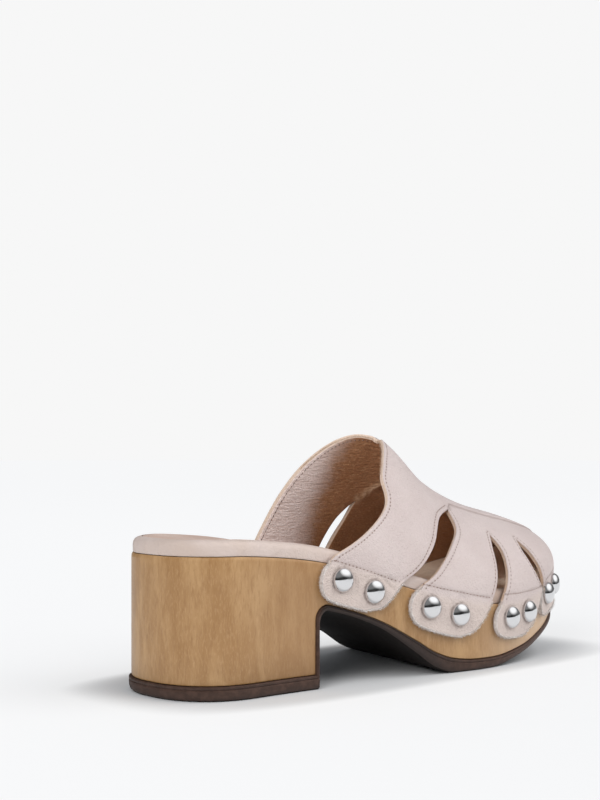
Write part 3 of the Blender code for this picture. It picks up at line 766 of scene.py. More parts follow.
def last_normals(places):
    """Outward normals of the last."""
    places = fold(places)
    step_along = np.array([0, REACH, 0])
    step_up = np.array([0, 0, REACH])
    run = last_points(places - step_along) - last_points(places + step_along)
    rise = last_points(places + step_up) - last_points(places - step_up)
    normals = unit(np.cross(rise, run) * places[:, :1])
    crest = places[:, 2] >= CREST_LEVEL
    for side in SIDES:
        rows = crest & (places[:, 0] == side)
        slope = crest_slope(crest_x(side, places[rows, 1]))
        normals[rows] = unit(np.stack([-slope, 0 * slope, 0 * slope + 1], -1))
    return normals


def flat_points(places):
    """Where points of the upper lie when its ribs are laid out flat on both sides of the crest line."""
    def work(side, stations, levels):
        controls = ribs(side, stations)
        girth = sum(np.linalg.norm(b - a, axis=1) for a, b in zip(controls, controls[1:]))
        foot, top = controls[0][:, :2], controls[-1][:, :2]
        share = 1 - np.clip(levels, 0.0, CREST_LEVEL) / CREST_LEVEL
        return top + unit(foot - top) * (girth * share + np.maximum(-levels, 0.0))[:, None]
    return by_side(places, 2, work)


def nudge(places, moves):
    """Places after short moves in the flat layout."""
    step = 0.25
    along = (flat_points(places + [0, step, 0]) - flat_points(places - [0, step, 0])) / (2 * step)
    up = (flat_points(places) - flat_points(places - [0, 0, step])) / step
    area = along[:, 0] * up[:, 1] - along[:, 1] * up[:, 0]
    moved = places.copy()
    moved[:, 1] += (moves[:, 0] * up[:, 1] - moves[:, 1] * up[:, 0]) / area
    moved[:, 2] += (along[:, 0] * moves[:, 1] - along[:, 1] * moves[:, 0]) / area
    return moved


# Upper: its outline on the last

def tab_edge(corner, rows, depth):
    return [Vector((corner + behind, WOOD_EDGE_LEVEL - share * depth)) for behind, share in rows]


def slot_edges(slot):
    """Apex of a slot, and its back and front edges from the apex to the foot."""
    apex_station, apex_level, middle_station, foot_station, *widths = slot
    apex = Vector((apex_station, apex_level))
    foot = Vector((foot_station, WOOD_EDGE_LEVEL))
    middle = Vector((middle_station, (apex_level + WOOD_EDGE_LEVEL) / 2))
    pull = 2 * middle - (apex + foot) / 2
    width_rows = list(zip(SLOT_WIDTHS_AT, (0.0, *widths)))
    back_edge, front_edge = [], []
    for k in range(1, SLOT_POINTS + 1):
        t = (k / SLOT_POINTS) ** SLOT_CROWDING
        centre = (1 - t) ** 2 * apex + 2 * t * (1 - t) * pull + t ** 2 * foot
        half = Vector((float(smooth(width_rows, t)) / 2, 0))
        back_edge.append(centre + half)
        front_edge.append(centre - half)
    return apex, back_edge, front_edge


def half_outline(side):
    """Outline of one half of the upper, from the collar's crest to the middle of the toe tab."""
    column, other_column = (1, 2) if side == LATERAL else (2, 1)
    path = [Vector((row[column], row[0])) for row in COLLAR]
    over_the_crest = Vector((COLLAR[1][other_column], 2 * CREST_LEVEL - COLLAR[1][0]))
    back = FIRST_TAB_BACK[side]
    outline = path[:1]
    for slot, depth in zip(SLOTS[side], TAB_DEPTHS):
        apex, back_edge, front_edge = slot_edges(slot)
        front = back_edge[-1].x
        middle = Vector(((back + front) / 2, WOOD_EDGE_LEVEL - depth))
        path += [*tab_edge(back, TAB_BACK, depth), middle, *tab_edge(front, TAB_FRONT, depth)]
        outline += flow(path, EDGE_STEP, over_the_crest)[1:]
        path = [*reversed(back_edge), apex, *front_edge[:-1]]
        over_the_crest = None
        back = front_edge[-1].x
    bottom = WOOD_EDGE_LEVEL - TAB_DEPTHS[-1]
    path += [*tab_edge(back, TAB_BACK, TAB_DEPTHS[-1]), Vector((back / 2, bottom)), Vector((0, bottom))]
    return outline + flow(path, EDGE_STEP)[1:]


def tab_corners(side):
    """Back and front corner of each tab, from the first one to the toe tab, which ends at the toe tip."""
    edges = [slot_edges(slot) for slot in SLOTS[side]]
    backs = [FIRST_TAB_BACK[side], *(front_edge[-1].x for _, _, front_edge in edges)]
    fronts = [*(back_edge[-1].x for _, back_edge, _ in edges), 0.0]
    return list(zip(backs, fronts))


def places_on(side, stations, levels):
    """Rows of side, station and level."""
    return np.column_stack([np.full(len(stations), float(side)), stations, levels])


def stud_stations():
    """Side, station and drop below the wood's top edge of each stud."""
    for side in SIDES:
        for (back, _), (from_back, pitch, *drops) in zip(tab_corners(side), STUDS):
            for nail, drop in enumerate(drops):
                yield side, back - from_back - nail * pitch, drop


def stud_seats():
    """Seat and outward normal of each stud."""
    seats = []
    for side, station, drop in stud_stations():
        edge, normal = sole_edge(side, [station])
        seat = edge[0] + (GAP + UPPER_WALL + GAP) * normal[0]
        seat[2] = wood_top(edge[0, 0]) - drop
        seats.append((seat, normal[0]))
    return seats


def stud_rings():
    """Rings of places round each stud."""
    turns = np.linspace(0, 2 * math.pi, STUD_RING_POINTS, endpoint=False)
    rings = []
    for side, station, drop in stud_stations():
        for radius in STUD_RINGS:
            stations = station + radius * np.cos(turns) / STATION_SCALE[side]
            rings.append(places_on(side, stations, WOOD_EDGE_LEVEL - drop + radius * np.sin(turns)))
    return rings


def seam_line(side, tab, step):
    """Places of the seam across the top of a tab."""
    back, front = tab_corners(side)[tab]
    start = back - TAB_SEAM_INSET
    end = front + TAB_SEAM_INSET if front > 0 else 0.0
    stations = np.linspace(start, end, max(2, round((start - end) / step)))
    rows = list(zip((0.0, 0.5, 1.0), TAB_SEAMS[tab]))
    return places_on(side, stations, smooth(rows, (start - stations) / (start - end)))


def seam_lines(step):
    """Side and places of the seam of every tab."""
    return [(side, seam_line(side, tab, step)) for side in SIDES for tab in range(len(TAB_SEAMS))]


def lap_lines():
    """Rows of places up the lap's cut edge, the first along its foot."""
    foot = flow([Vector(row) for row in LAP_SEAM], EDGE_STEP)
    rows = []
    for offset, _ in LAP_RISE:
        row = []
        for i, spot in enumerate(foot):
            ahead = foot[min(i + 1, len(foot) - 1)] - foot[max(i - 1, 0)]
            moved = spot + offset * Vector((ahead.y, -ahead.x)).normalized()
            row.append((LATERAL, moved.x, moved.y))
        rows.append(np.array(row, float))
    return rows


def crease_rows():
    """Rows of places along and beside each narrow crease."""
    rows = []
    for side, width, _, path in CREASES:
        if width < NARROW_CREASE:
            line = np.array(flow([Vector(row) for row in path], CREASE_STEP))
            ahead = unit(np.gradient(line, axis=0))
            for offset in CREASE_ROWS:
                moved = line + offset * np.stack([ahead[:, 1], -ahead[:, 0]], -1)
                rows.append(places_on(side, *moved.T))
    return rows


def beside_line(spots, line):
    """Distance of flat spots from a line, the side they are on, and how far they lie before its start."""
    best = np.full(len(spots), np.inf)
    turn = np.zeros(len(spots))
    before = np.zeros(len(spots))
    for i, (a, b) in enumerate(zip(line, line[1:])):
        along = b - a
        share = (spots - a) @ along / (along @ along)
        away = spots - a - np.clip(share, 0, 1)[:, None] * along
        distance = np.hypot(*away.T)
        nearer = distance < best
        best[nearer] = distance[nearer]
        turn[nearer] = (along[0] * (spots - a)[:, 1] - along[1] * (spots - a)[:, 0])[nearer]
        before[nearer] = np.maximum(-share * np.hypot(*along), 0.0)[nearer] if i == 0 else 0.0
    return best, turn, before


def line_distance(spots, line):
    return beside_line(spots, line)[0]


def inside(spots, polygon):
    """Which flat spots lie inside a polygon."""
    found = np.zeros(len(spots), bool)
    for a, b in zip(polygon, np.roll(polygon, -1, axis=0)):
        crosses = (a[1] > spots[:, 1]) != (b[1] > spots[:, 1])
        with np.errstate(divide="ignore", invalid="ignore"):
            at = a[0] + (spots[:, 1] - a[1]) / (b[1] - a[1]) * (b[0] - a[0])
        found ^= crosses & (spots[:, 0] < at)
    return found


def thinned(spots, step, taken):
    """Numbers of the spots that keep at least a step from the taken ones and from each other."""
    cells = {}

    def key(spot):
        return int(spot[0] // step), int(spot[1] // step)

    def is_free(spot):
        column, row = key(spot)
        for i in range(column - 1, column + 2):
            for j in range(row - 1, row + 2):
                for other in cells.get((i, j), ()):
                    if (spot[0] - other[0]) ** 2 + (spot[1] - other[1]) ** 2 < step * step:
                        return False
        return True

    for spot in taken:
        cells.setdefault(key(spot), []).append(spot)
    kept = []
    for i, spot in enumerate(spots):
        if is_free(spot):
            cells.setdefault(key(spot), []).append(spot)
            kept.append(i)
    return kept


def grid_places(side, step, levels):
    """Places at every crossing of some levels and of stations a step apart."""
    stations = np.arange(step, FIRST_TAB_BACK[side] + TAB_BULGE, step)
    grid = np.stack(np.meshgrid(stations, levels, indexing="ij"), -1).reshape(-1, 2)
    return places_on(side, *grid.T)


def wall_grid():
    """Candidate places all over the upper, the crest line first."""
    crest = np.arange(0.0, COLLAR[0][1], CREST_GRID)
    levels = np.arange(TAB_TOP_LEVEL, CREST_LEVEL - CREST_MARGIN, LEVEL_GRID)
    sides = [grid_places(side, STATION_GRID, levels) for side in SIDES]
    return np.concatenate([places_on(LATERAL, crest, np.full(len(crest), CREST_LEVEL)), *sides])


def tab_grid():
    """Closer candidate places on the tabs."""
    levels = np.arange(LOWEST_LEVEL, TAB_TOP_LEVEL, TAB_GRID)
    return np.concatenate([grid_places(side, TAB_GRID, levels) for side in SIDES])


class UpperWall:
    """The upper's rim, its inward directions, the lap lines and the fields that shape its faces."""

    def __init__(self):
        lateral, medial = half_outline(LATERAL), half_outline(MEDIAL)
        rim = [(LATERAL, *spot) for spot in lateral] + [(MEDIAL, *spot) for spot in medial[-2:0:-1]]
        self.rim = np.array(rim, float)
        self.levels = self.rim[:, 2]
        self.outline = flat_points(self.rim)
        self.closed_outline = np.vstack([self.outline, self.outline[:1]])
        before, after = np.roll(self.outline, 1, axis=0), np.roll(self.outline, -1, axis=0)
        ahead = after - before
        area = np.sum(before[:, 0] * self.outline[:, 1] - self.outline[:, 0] * before[:, 1])
        self.inwards = unit(np.stack([-ahead[:, 1], ahead[:, 0]], -1)) * np.sign(area)
        self.across = unit(last_points(nudge(self.rim, self.inwards * REACH)) - last_points(self.rim))
        self.lap_rows = lap_lines()
        self.lap_foot = flat_points(self.lap_rows[0])
        self.lining_line = flat_points(places_on(MEDIAL, *zip(*LINING_SEAM)))

    def rim_distance(self, spots):
        return line_distance(spots, self.closed_outline)

    def row(self, distance):
        """Places beside the rim at one distance from it, and which of them keep clear of other edges."""
        places = fold(nudge(self.rim, self.inwards * distance))
        return places, self.rim_distance(flat_points(places)) > distance * ROW_CLEARANCE

    def collar_edge(self):
        """Which points of the rim lie on the collar, behind the slots."""
        behind = self.rim[:, 1] > np.where(self.levels > COLLAR_BEND_LEVEL, *COLLAR_BEHIND)
        return behind & (self.levels > COLLAR_END_LEVEL)

    def lap(self, spots):
        """How far the lapped layer raises the outer face: full at the seam, fading medially."""
        distance, turn, before = beside_line(spots, self.lap_foot)
        rise = np.interp(distance, *zip(*LAP_RISE))
        left = np.maximum(0.0, 1 - distance / LAP_FADE) * np.maximum(0.0, 1 - before / LAP_RUN_OUT)
        return np.where(turn > 0, LAP_STEP * rise * left, 0.0), distance + before

    def relief(self, places, spots, points):
        """Height of the outer face over the plain wall, and its painted shade in the seam grooves, under the
        lap's edge and round the studs.
        """
        places = fold(places)
        rim_away = self.rim_distance(spots)
        sewn = fade(places[:, 2], RAW_END, SEWN_START)
        height, lap_away = self.lap(spots)
        height = height + sewn * EDGE_ROLL * bell(rim_away - EDGE_ROLL_AT, EDGE_ROLL_WIDTH)
        height -= sewn * SEAM_DEPTH * bell(rim_away - EDGE_SEAM, SEAM_WIDTH)
        dark = sewn * shade(rim_away - EDGE_SEAM, EDGE_SEAM_SHADE) + shade(lap_away, LAP_SHADE)
        for side, line in seam_lines(SEAM_SAMPLE):
            on_side = places[:, 0] == side
            away = line_distance(spots, flat_points(line))
            height -= np.where(on_side, SEAM_DEPTH * bell(away, SEAM_WIDTH), 0.0)
            dark += np.where(on_side, shade(away, TAB_SEAM_SHADE), 0.0)
        for side, width, depth, path in CREASES:
            line = np.array(flow([Vector(row) for row in path], CREASE_SAMPLE))
            line = flat_points(places_on(side, *line.T))
            from_end = np.minimum(*(np.hypot(*(spots - end).T) for end in (line[0], line[-1])))
            share = 1 - CREASE_END_FADE * bell(from_end, CREASE_END_REACH)
            height -= CREASE_DEPTH * depth * bell(line_distance(spots, line), width) * share
        # Each stud presses a crease round its rim, with painted shade along it
        for seat, normal in stud_seats():
            away = np.linalg.norm(points + (UPPER_WALL + GAP) * normal - seat, axis=1)
            pull = np.exp(-np.maximum(away - STUD_PULL_START, 0.0) / STUD_PULL_REACH)
            height -= STUD_PULL * pull * (away < STUD_PULL_END)
            height -= STUD_CREASE_DEPTH * bell(away - STUD_CREASE_RADIUS, STUD_CREASE_WIDTH)
            dark += shade(away - STUD_CREASE_RADIUS, STUD_SHADE)
        return height, np.minimum(dark, 1.0)


def shaping_places(wall):
    """Places that the relief needs: rows beside the rim and the seams, rings round the studs, and creases."""
    blocks = []
    for distance in EDGE_ROWS:
        places, free = wall.row(distance)
        blocks.append(places[free])
    for side, line in seam_lines(SEAM_STEP):
        for offset in SEAM_ROWS:
            shifted = line + [0, 0, offset]
            blocks.append(shifted[shifted[:, 1] > TOE_MARGIN] if side == MEDIAL else shifted)
    return np.concatenate(blocks + stud_rings() + crease_rows())


def wall_places(wall):
    """Places of the upper's points and where they lie flat: rim and lap rows, then what fits between."""
    places = np.concatenate([wall.rim, *wall.lap_rows])
    flat = flat_points(places)
    fills = (
        (shaping_places(wall), CLOSEST, RIM_MARGIN),
        (tab_grid(), TAB_STEP, RIM_MARGIN),
        (wall_grid(), WALL_STEP, EDGE_ROWS[-1]),
    )
    for more, step, margin in fills:
        spots = flat_points(more)
        free = inside(spots, wall.outline) & (wall.rim_distance(spots) > margin)
        more, spots = more[free], spots[free]
        kept = thinned(spots, step, flat)
        places = np.concatenate([places, more[kept]])
        flat = np.concatenate([flat, spots[kept]])
    return places, flat


def triangulated(wall, flat):
    """Triangles between flat points, where their corners lie, and the number of the point at each."""
    lap_edges = []
    start = len(wall.rim)
    for row in wall.lap_rows:
        lap_edges += [(i, i + 1) for i in range(start, start + len(row) - 1)]
        start += len(row)
    cloud = [Vector(spot) for spot in flat.tolist()]
    rim_face = list(range(len(wall.rim)))
    spots, _, triangles, sources, _, _ = delaunay_2d_cdt(cloud, lap_edges, [rim_face], 1, MERGE_DISTANCE)
    numbers = np.array([entry[0] for entry in sources])
    triangles, spots = (np.array([tuple(row) for row in rows]) for rows in (triangles, spots))
    return triangles, spots, numbers


def edge_strips(wall, row_numbers):
    """Faces over the edge of the leather, from row to row of points, and their material slots."""
    leather_rows = np.where(wall.collar_edge(), COLLAR_LEATHER_ROWS, LEATHER_ROWS)
    leather_rows[wall.levels < RAW_EDGE_LEVEL] = RAW_LEATHER_ROWS
    first_lining_row = len(row_numbers) - 1 - LINING_ROWS
    faces = []
    slots = []
    for k, (above, below) in enumerate(zip(row_numbers, row_numbers[1:])):
        faces += np.stack([np.roll(above, -1), above, below, np.roll(below, -1)], -1).tolist()
        slot = CUT_EDGE_SLOT if k < first_lining_row else LINING_SLOT
        slots += np.where(k < leather_rows, LEATHER_SLOT, slot).tolist()
    return faces, slots


def upper_object(wall, materials):
    """Leather, cut edge and lining of the upper as one closed mesh."""
    places, flat = wall_places(wall)
    triangles, spots, source = triangulated(wall, flat)
    places = places[source]
    points, normals = last_points(places), last_normals(places)
    height, dark = wall.relief(places, spots, points)
    rim_count, count = len(wall.rim), len(points)
    on_foot = (source >= rim_count) & (source < rim_count + len(wall.lap_rows[0]))
    height[on_foot] -= wall.lap(spots)[0][on_foot]
    ridge = LINING_RIDGE * bell(line_distance(spots, wall.lining_line), LINING_RIDGE_WIDTH)
    ridge[places[:, 0] != MEDIAL] = 0.0
    outer = points + normals * (UPPER_WALL + height)[:, None]
    inner = points - normals * ridge[:, None]

    place_of = {number: k for k, number in enumerate(source.tolist())}
    rim = np.array([place_of[i] for i in range(rim_count)])
    rows = []
    for inset, level in EDGE_PROFILE:
        lift = level + height[rim] * level / UPPER_WALL
        rows.append(points[rim] + wall.across * inset + normals[rim] * lift[:, None])
    outer[rim], inner[rim] = rows[0], rows[-1]
    between = rows[1:-1]
    numbers = 2 * count + np.arange(len(between) * rim_count).reshape(-1, rim_count)

    strips, strip_slots = edge_strips(wall, np.vstack([rim, numbers, count + rim]))
    faces = triangles.tolist() + (count + triangles[:, ::-1]).tolist() + strips
    slots = [LEATHER_SLOT] * len(triangles) + [LINING_SLOT] * len(triangles) + strip_slots
    corners = outer[triangles]
    facing = np.cross(corners[:, 1] - corners[:, 0], corners[:, 2] - corners[:, 0])
    if np.sum(facing * normals[triangles[:, 0]]) < 0:
        faces = [face[::-1] for face in faces]

    none = np.zeros(count)
    raw, rim_raw = (fade(levels, SMOOTH_END, RAW_START) for levels in (places[:, 2], wall.levels))
    attributes = {
        # Stored as "seam": painted shade on the outer face, and a painted highlight along the lining's ridge
        "seam": np.concatenate([dark, ridge / LINING_RIDGE, np.zeros(numbers.size)]),
        "collar": np.concatenate([none, none, np.tile(wall.collar_edge(), len(between))]),
        "raw": np.concatenate([raw, raw, np.tile(rim_raw, len(between))]),
    }
    vertices = np.concatenate([outer, inner, *between])
    return make_object("upper_leather", vertices, faces, materials, slots, 60.0, attributes)


# Node trees

def operator(operation):
    """Methods for an operator of Python that adds a Math node, and for its reflected form."""
    def plain(wire, other):
        return wire.math(operation, wire, other)

    def reflected(wire, other):
        return wire.math(operation, other, wire)

    return plain, reflected


class Wire:
    """One output of a node tree, with Python's operators for its arithmetic."""

    def __init__(self, tree, socket=None):
        self.tree = tree
        self.socket = socket

    def make(self, kind, settings=None, inputs=None, output=0):
        """New node with its settings and inputs, and one of its outputs."""
        node = self.tree.nodes.new(kind)
        for name, value in (settings or {}).items():
            setattr(node, name, value)
        for key, value in (inputs or {}).items():
            self.feed(node.inputs[key], value)
        return Wire(self.tree, node.outputs[output])

    def feed(self, socket, value):
        if isinstance(value, Wire):
            self.tree.links.new(value.socket, socket)
        else:
            socket.default_value = value

    def math(self, operation, *values):
        return self.make("ShaderNodeMath", {"operation": operation}, dict(enumerate(values)))

    def vector_math(self, operation, *values, output=0):
        return self.make("ShaderNodeVectorMath", {"operation": operation}, dict(enumerate(values)), output)

    __add__, __radd__ = operator("ADD")
    __sub__, __rsub__ = operator("SUBTRACT")
    __mul__, __rmul__ = operator("MULTIPLY")
    __truediv__, __rtruediv__ = operator("DIVIDE")
    __pow__, __rpow__ = operator("POWER")

    def ramp(self, low, high, to_low=0.0, to_high=1.0):
        """The value carried smoothly from one range to another."""
        inputs = {"Value": self, "From Min": low, "From Max": high, "To Min": to_low, "To Max": to_high}
        return self.make("ShaderNodeMapRange", {"interpolation_type": "SMOOTHSTEP"}, inputs)

    def mottle(self, first, second, span=NOISE_SPAN):
        """Colours between two, by a noise over its usual span."""
        return self.ramp(*span).mix(first, second)

    def mix(self, first, second):
        """Colour between two, by this share of the second."""
        colours = [value if isinstance(value, Wire) else (*value, 1.0) for value in (first, second)]
        inputs = {"Factor": self, 6: colours[0], 7: colours[1]}
        return self.make("ShaderNodeMix", {"data_type": "RGBA"}, inputs, 2)


class Finish:
    """A material made of one Principled shader, with helpers for the patterns on it."""

    def __init__(self, name, **values):
        self.material = bpy.data.materials.new(name)
        self.material.use_nodes = True
        self.tree = self.material.node_tree
        self.shader = self.tree.nodes["Principled BSDF"]
        self.wire = Wire(self.tree)
        for title, value in values.items():
            self.put(title.replace("_", " "), value)

    def put(self, title, value):
        if isinstance(value, tuple):
            value = (*value, 1.0)
        self.wire.feed(self.shader.inputs[title], value)

    def place(self):
        """Place on the shoe in metres."""
        return self.wire.make("ShaderNodeTexCoord", output=3)

    def spot(self, scale=(1, 1, 1)):
        """Place on the shoe in mm, stretched along the axes."""
        inputs = {"Vector": self.place(), "Scale": [part / MM for part in scale]}
        return self.wire.make("ShaderNodeMapping", {}, inputs)

    def axis(self, index):
        """One coordinate of the place on the shoe in mm."""
        return self.wire.make("ShaderNodeSeparateXYZ", {}, {0: self.place()}, index) / MM

    def noise(self, spot, scale, detail=2.0, roughness=0.5, distortion=0.0):
        inputs = {"Vector": spot, "Scale": scale, "Detail": detail}
        inputs.update({"Roughness": roughness, "Distortion": distortion})
        return self.wire.make("ShaderNodeTexNoise", {}, inputs)

    def pebbles(self, spot, scale):
        inputs = {"Vector": spot, "Scale": scale}
        return self.wire.make("ShaderNodeTexVoronoi", {"feature": "SMOOTH_F1"}, inputs)

    def attribute(self, name):
        return self.wire.make("ShaderNodeAttribute", {"attribute_name": name}, output=2)

    def bump(self, height, depth, strength=1.0):
        inputs = {"Strength": strength, "Distance": depth * MM, "Height": height}
        self.put("Normal", self.wire.make("ShaderNodeBump", {}, inputs))

    def glow(self, colour):
        self.put("Emission Color", colour)
        self.put("Emission Strength", 1.0)


# Finishes

def srgb(red, green, blue):
    """Linear colour of a screen colour."""
    shares = [part / 255 for part in (red, green, blue)]
    return tuple(part / 12.92 if part <= 0.04045 else ((part + 0.055) / 1.055) ** 2.4 for part in shares)


def grey(level):
    return (level,) * 3


def upper_leather_finish():
    leather = Finish("pale_pebbled_leather", Coat_Weight=0.04)
    spot = leather.spot()
    grain = leather.pebbles(spot, 1.8)
    fine = leather.noise(spot, 3.0, detail=3.0)
    crumple = leather.noise(spot, 0.42, detail=4.0, roughness=0.6)
    cloud = leather.noise(spot, 0.05, detail=3.0)
    pores = grain.ramp(0.25, 0.75)
    raw = leather.attribute("raw")
    tone = cloud.mottle(srgb(199, 184, 180), srgb(205, 191, 187))
    tone = (raw * 0.7).mix(tone, srgb(208, 192, 182))
    tone = (pores * 0.22).mix(tone, srgb(172, 154, 149))
    # Painted shade from the "seam" attribute: in the seam grooves, under the lap's edge and round the studs
    tone = (leather.attribute("seam") * 0.75).mix(tone, srgb(120, 98, 90))
    leather.put("Base Color", tone)
    leather.put("Roughness", fine.ramp(*NOISE_SPAN, 0.46, 0.6))
    folds = leather.noise(spot, 0.2, detail=2.0)
    leather.bump(fine * 0.4 + crumple * (raw * 0.6 + 1.5) + folds * raw * 2.2 - grain, depth=0.33)
    return leather.material


def cut_edge_finish():
    edge = Finish("cut_leather_edge", Roughness=0.8)
    spot = edge.spot()
    fibres = edge.noise(spot, 1.6, detail=4.0, roughness=0.65)
    # Darker in the slots than at the collar: the edge's own tan with painted shade of the slots' walls
    slot = fibres.mottle(srgb(184, 156, 134), srgb(205, 182, 162))
    collar = fibres.mottle(srgb(204, 180, 161), srgb(221, 200, 182))
    tone = edge.attribute("collar").mix(slot, collar)
    raw = fibres.mottle(srgb(206, 195, 189), srgb(240, 234, 230), NARROW_SPAN)
    edge.put("Base Color", edge.attribute("raw").mix(tone, raw))
    edge.bump(fibres, depth=0.3, strength=0.6)
    return edge.material


def lining_finish():
    """Brown lining, with a pink sheen painted at the back, painted shade under the instep and painted light
    at the toe.
    """
    lining = Finish("tan_lining_leather", Roughness=0.6)
    spot = lining.spot()
    grain = lining.pebbles(spot, 1.1)
    cloud = lining.noise(spot, 0.07, detail=3.0)
    weave = lining.noise(lining.spot((0.5, 0.5, 1.2)), 1.3, detail=3.0, roughness=0.6)
    wrinkles = lining.noise(lining.spot((0.3, 0.3, 1.5)), 0.7, detail=4.0, roughness=0.6)
    brown = cloud.mottle(srgb(170, 121, 84), srgb(184, 135, 97))
    brown = (grain.ramp(*PORE_SPAN) * 0.3).mix(brown, srgb(118, 78, 50))
    brown = (weave.ramp(0.5, 0.68) * 0.5).mix(brown, srgb(220, 176, 138))
    forward = lining.axis(0)
    # Painted shade under the instep, painted light towards the toe
    brown = (forward.ramp(*LINING_PAINTED_SHADE) * 0.3).mix(brown, srgb(112, 70, 42))
    brown = (forward.ramp(*LINING_PAINTED_LIGHT) * 0.6).mix(brown, srgb(206, 156, 118))
    # The pink is a painted sheen, with painted shade in the troughs of its wrinkles
    pink = (grain.ramp(*PORE_SPAN) * 0.2).mix(srgb(252, 236, 230), srgb(214, 188, 178))
    pink = (wrinkles.ramp(0.5, 0.35) * 0.3).mix(pink, srgb(196, 166, 154))
    inner = forward + cloud * 10.0 + wrinkles * 12.0
    tone = inner.ramp(*LINING_PAINTED_SHEEN_FADES).mix(pink, brown)
    # Painted highlight along the ridge of the lining's seam
    tone = (lining.attribute("seam") * 0.8).mix(tone, srgb(228, 194, 160))
    lining.put("Base Color", tone)
    lining.bump(wrinkles * 2.2 + weave * 0.5 - grain * 0.6, depth=0.42)
    return lining.material


def footbed_finish(name, light, dark, shaded_under_upper):
    """Footbed leather, darker where the upper covers it as painted shade, and paler at the toe as painted
    light.
    """
    leather = Finish(name, Roughness=0.55)
    spot = leather.spot()
    grain = leather.pebbles(spot, 1.5)
    cloud = leather.noise(spot, 0.06, detail=3.0)
    forward = leather.axis(0) + cloud * 12.0
    tone = cloud.mottle(light, dark)
    # Paler towards the toe: painted light
    toe = forward.ramp(*FOOTBED_PAINTED_LIGHT).mix(shaded_under_upper, srgb(254, 234, 210))
    leather.put("Base Color", forward.ramp(*FOOTBED_PAINTED_SHADE).mix(tone, toe))
    padding = leather.noise(spot, 0.16, detail=3.0, roughness=0.6)
    leather.bump(padding * 7.0 - grain * 0.6, depth=0.25, strength=0.6)
    return leather.material


def wood_finish():
    wood = Finish("light_wood", Coat_Weight=0.12)
    bands = wood.noise(wood.spot((1, 1, 0.3)), 0.12, detail=3.0, roughness=0.55, distortion=0.6)
    streaks = wood.noise(wood.spot((1, 1, 0.2)), 0.85, detail=4.0, roughness=0.65, distortion=0.3)
    flecks = wood.noise(wood.spot((1, 1, 0.22)), 1.8, detail=3.0, roughness=0.6)
    tone = bands.mottle(srgb(153, 114, 70), srgb(177, 140, 96))
    tone = (streaks.ramp(0.45, 0.72) * 0.52).mix(tone, srgb(140, 101, 60))
    tone = (flecks.ramp(0.48, 0.68) * 0.3).mix(tone, srgb(190, 154, 112))
    forward = wood.axis(0)
    by_breast = forward.ramp(*HEEL_DEEPENS) * forward.ramp(*HEEL_ENDS)
    tone = (by_breast * 0.45).mix(tone, srgb(150, 112, 74))
    # Paler towards the toe: painted light
    tone = (forward.ramp(*WOOD_PAINTED_LIGHT) * 0.8).mix(tone, srgb(208, 177, 145))
    wood.put("Base Color", tone)
    wood.put("Roughness", streaks.ramp(*NOISE_SPAN, 0.5, 0.38))
    wood.bump(streaks + flecks, depth=0.1, strength=0.4)
    return wood.material


def rubber_finish():
    rubber = Finish("dark_rubber", Roughness=0.62)
    spot = rubber.spot()
    dust = rubber.noise(spot, 0.35, detail=4.0, roughness=0.6)
    tone = dust.mottle(srgb(60, 41, 32), srgb(78, 56, 46), SPECKLE_SPAN)
    forward = rubber.axis(0)
    # Painted shade along the arch
    arch_shade = forward.ramp(*ARCH_SHADE_STARTS) * forward.ramp(*ARCH_SHADE_ENDS)
    tone = (arch_shade * 0.75).mix(tone, srgb(34, 25, 22))
    # Paler towards the toe: painted light
    rubber.put("Base Color", (forward.ramp(*RUBBER_PAINTED_LIGHT) * 0.8).mix(tone, srgb(90, 74, 68)))
    rubber.bump(rubber.noise(spot, 1.4, detail=3.0), depth=0.1, strength=0.4)
    return rubber.material


def tread_finish():
    tread = Finish("tread_rubber_and_painted_shade", Roughness=0.8, Specular_IOR_Level=0.2)
    dust = tread.noise(tread.spot(), 0.3, detail=4.0, roughness=0.6)
    # Near black: the rubber's own tread colour, darker than its side as painted shade of the underside and
    # the arch
    tread.put("Base Color", dust.mottle(srgb(22, 17, 15), srgb(34, 27, 24), SPECKLE_SPAN))
    return tread.material


def chrome_finish():
    chrome = Finish("polished_nail_head", Metallic=1.0, Base_Color=(0.74, 0.74, 0.75))
    scuff = chrome.noise(chrome.spot(), 0.5, detail=3.0)
    chrome.put("Roughness", scuff.ramp(0.4, 0.8, 0.1, 0.16))
    return chrome.material


def thread_finish():
    thread = Finish("taupe_thread", Roughness=0.7)
    twist = thread.noise(thread.spot(), 3.0, detail=2.0)
    thread.put("Base Color", twist.mottle(srgb(176, 159, 153), srgb(190, 174, 168)))
    thread.bump(twist, depth=0.08, strength=0.5)
    return thread.material


def needle_hole_finish():
    hole = Finish("needle_hole", Roughness=0.9)
    specks = hole.noise(hole.spot(), 0.8, detail=2.0)
    # Dark beads painted as the shade inside the needle holes
    hole.put("Base Color", specks.mottle(srgb(104, 80, 68), srgb(128, 104, 92), NARROW_SPAN))
    return hole.material


def fibre_finish():
    fibre = Finish("raw_leather_fibre", Roughness=0.85)
    specks = fibre.noise(fibre.spot(), 1.2, detail=2.0)
    raw = specks.mottle(srgb(206, 195, 189), srgb(244, 239, 235), NARROW_SPAN)
    collar = specks.mottle(srgb(182, 148, 120), srgb(214, 186, 162), NARROW_SPAN)
    fibre.put("Base Color", fibre.axis(2).ramp(*FIBRES_TAN).mix(raw, collar))
    return fibre.material


# Repeated pieces, set out by geometry nodes

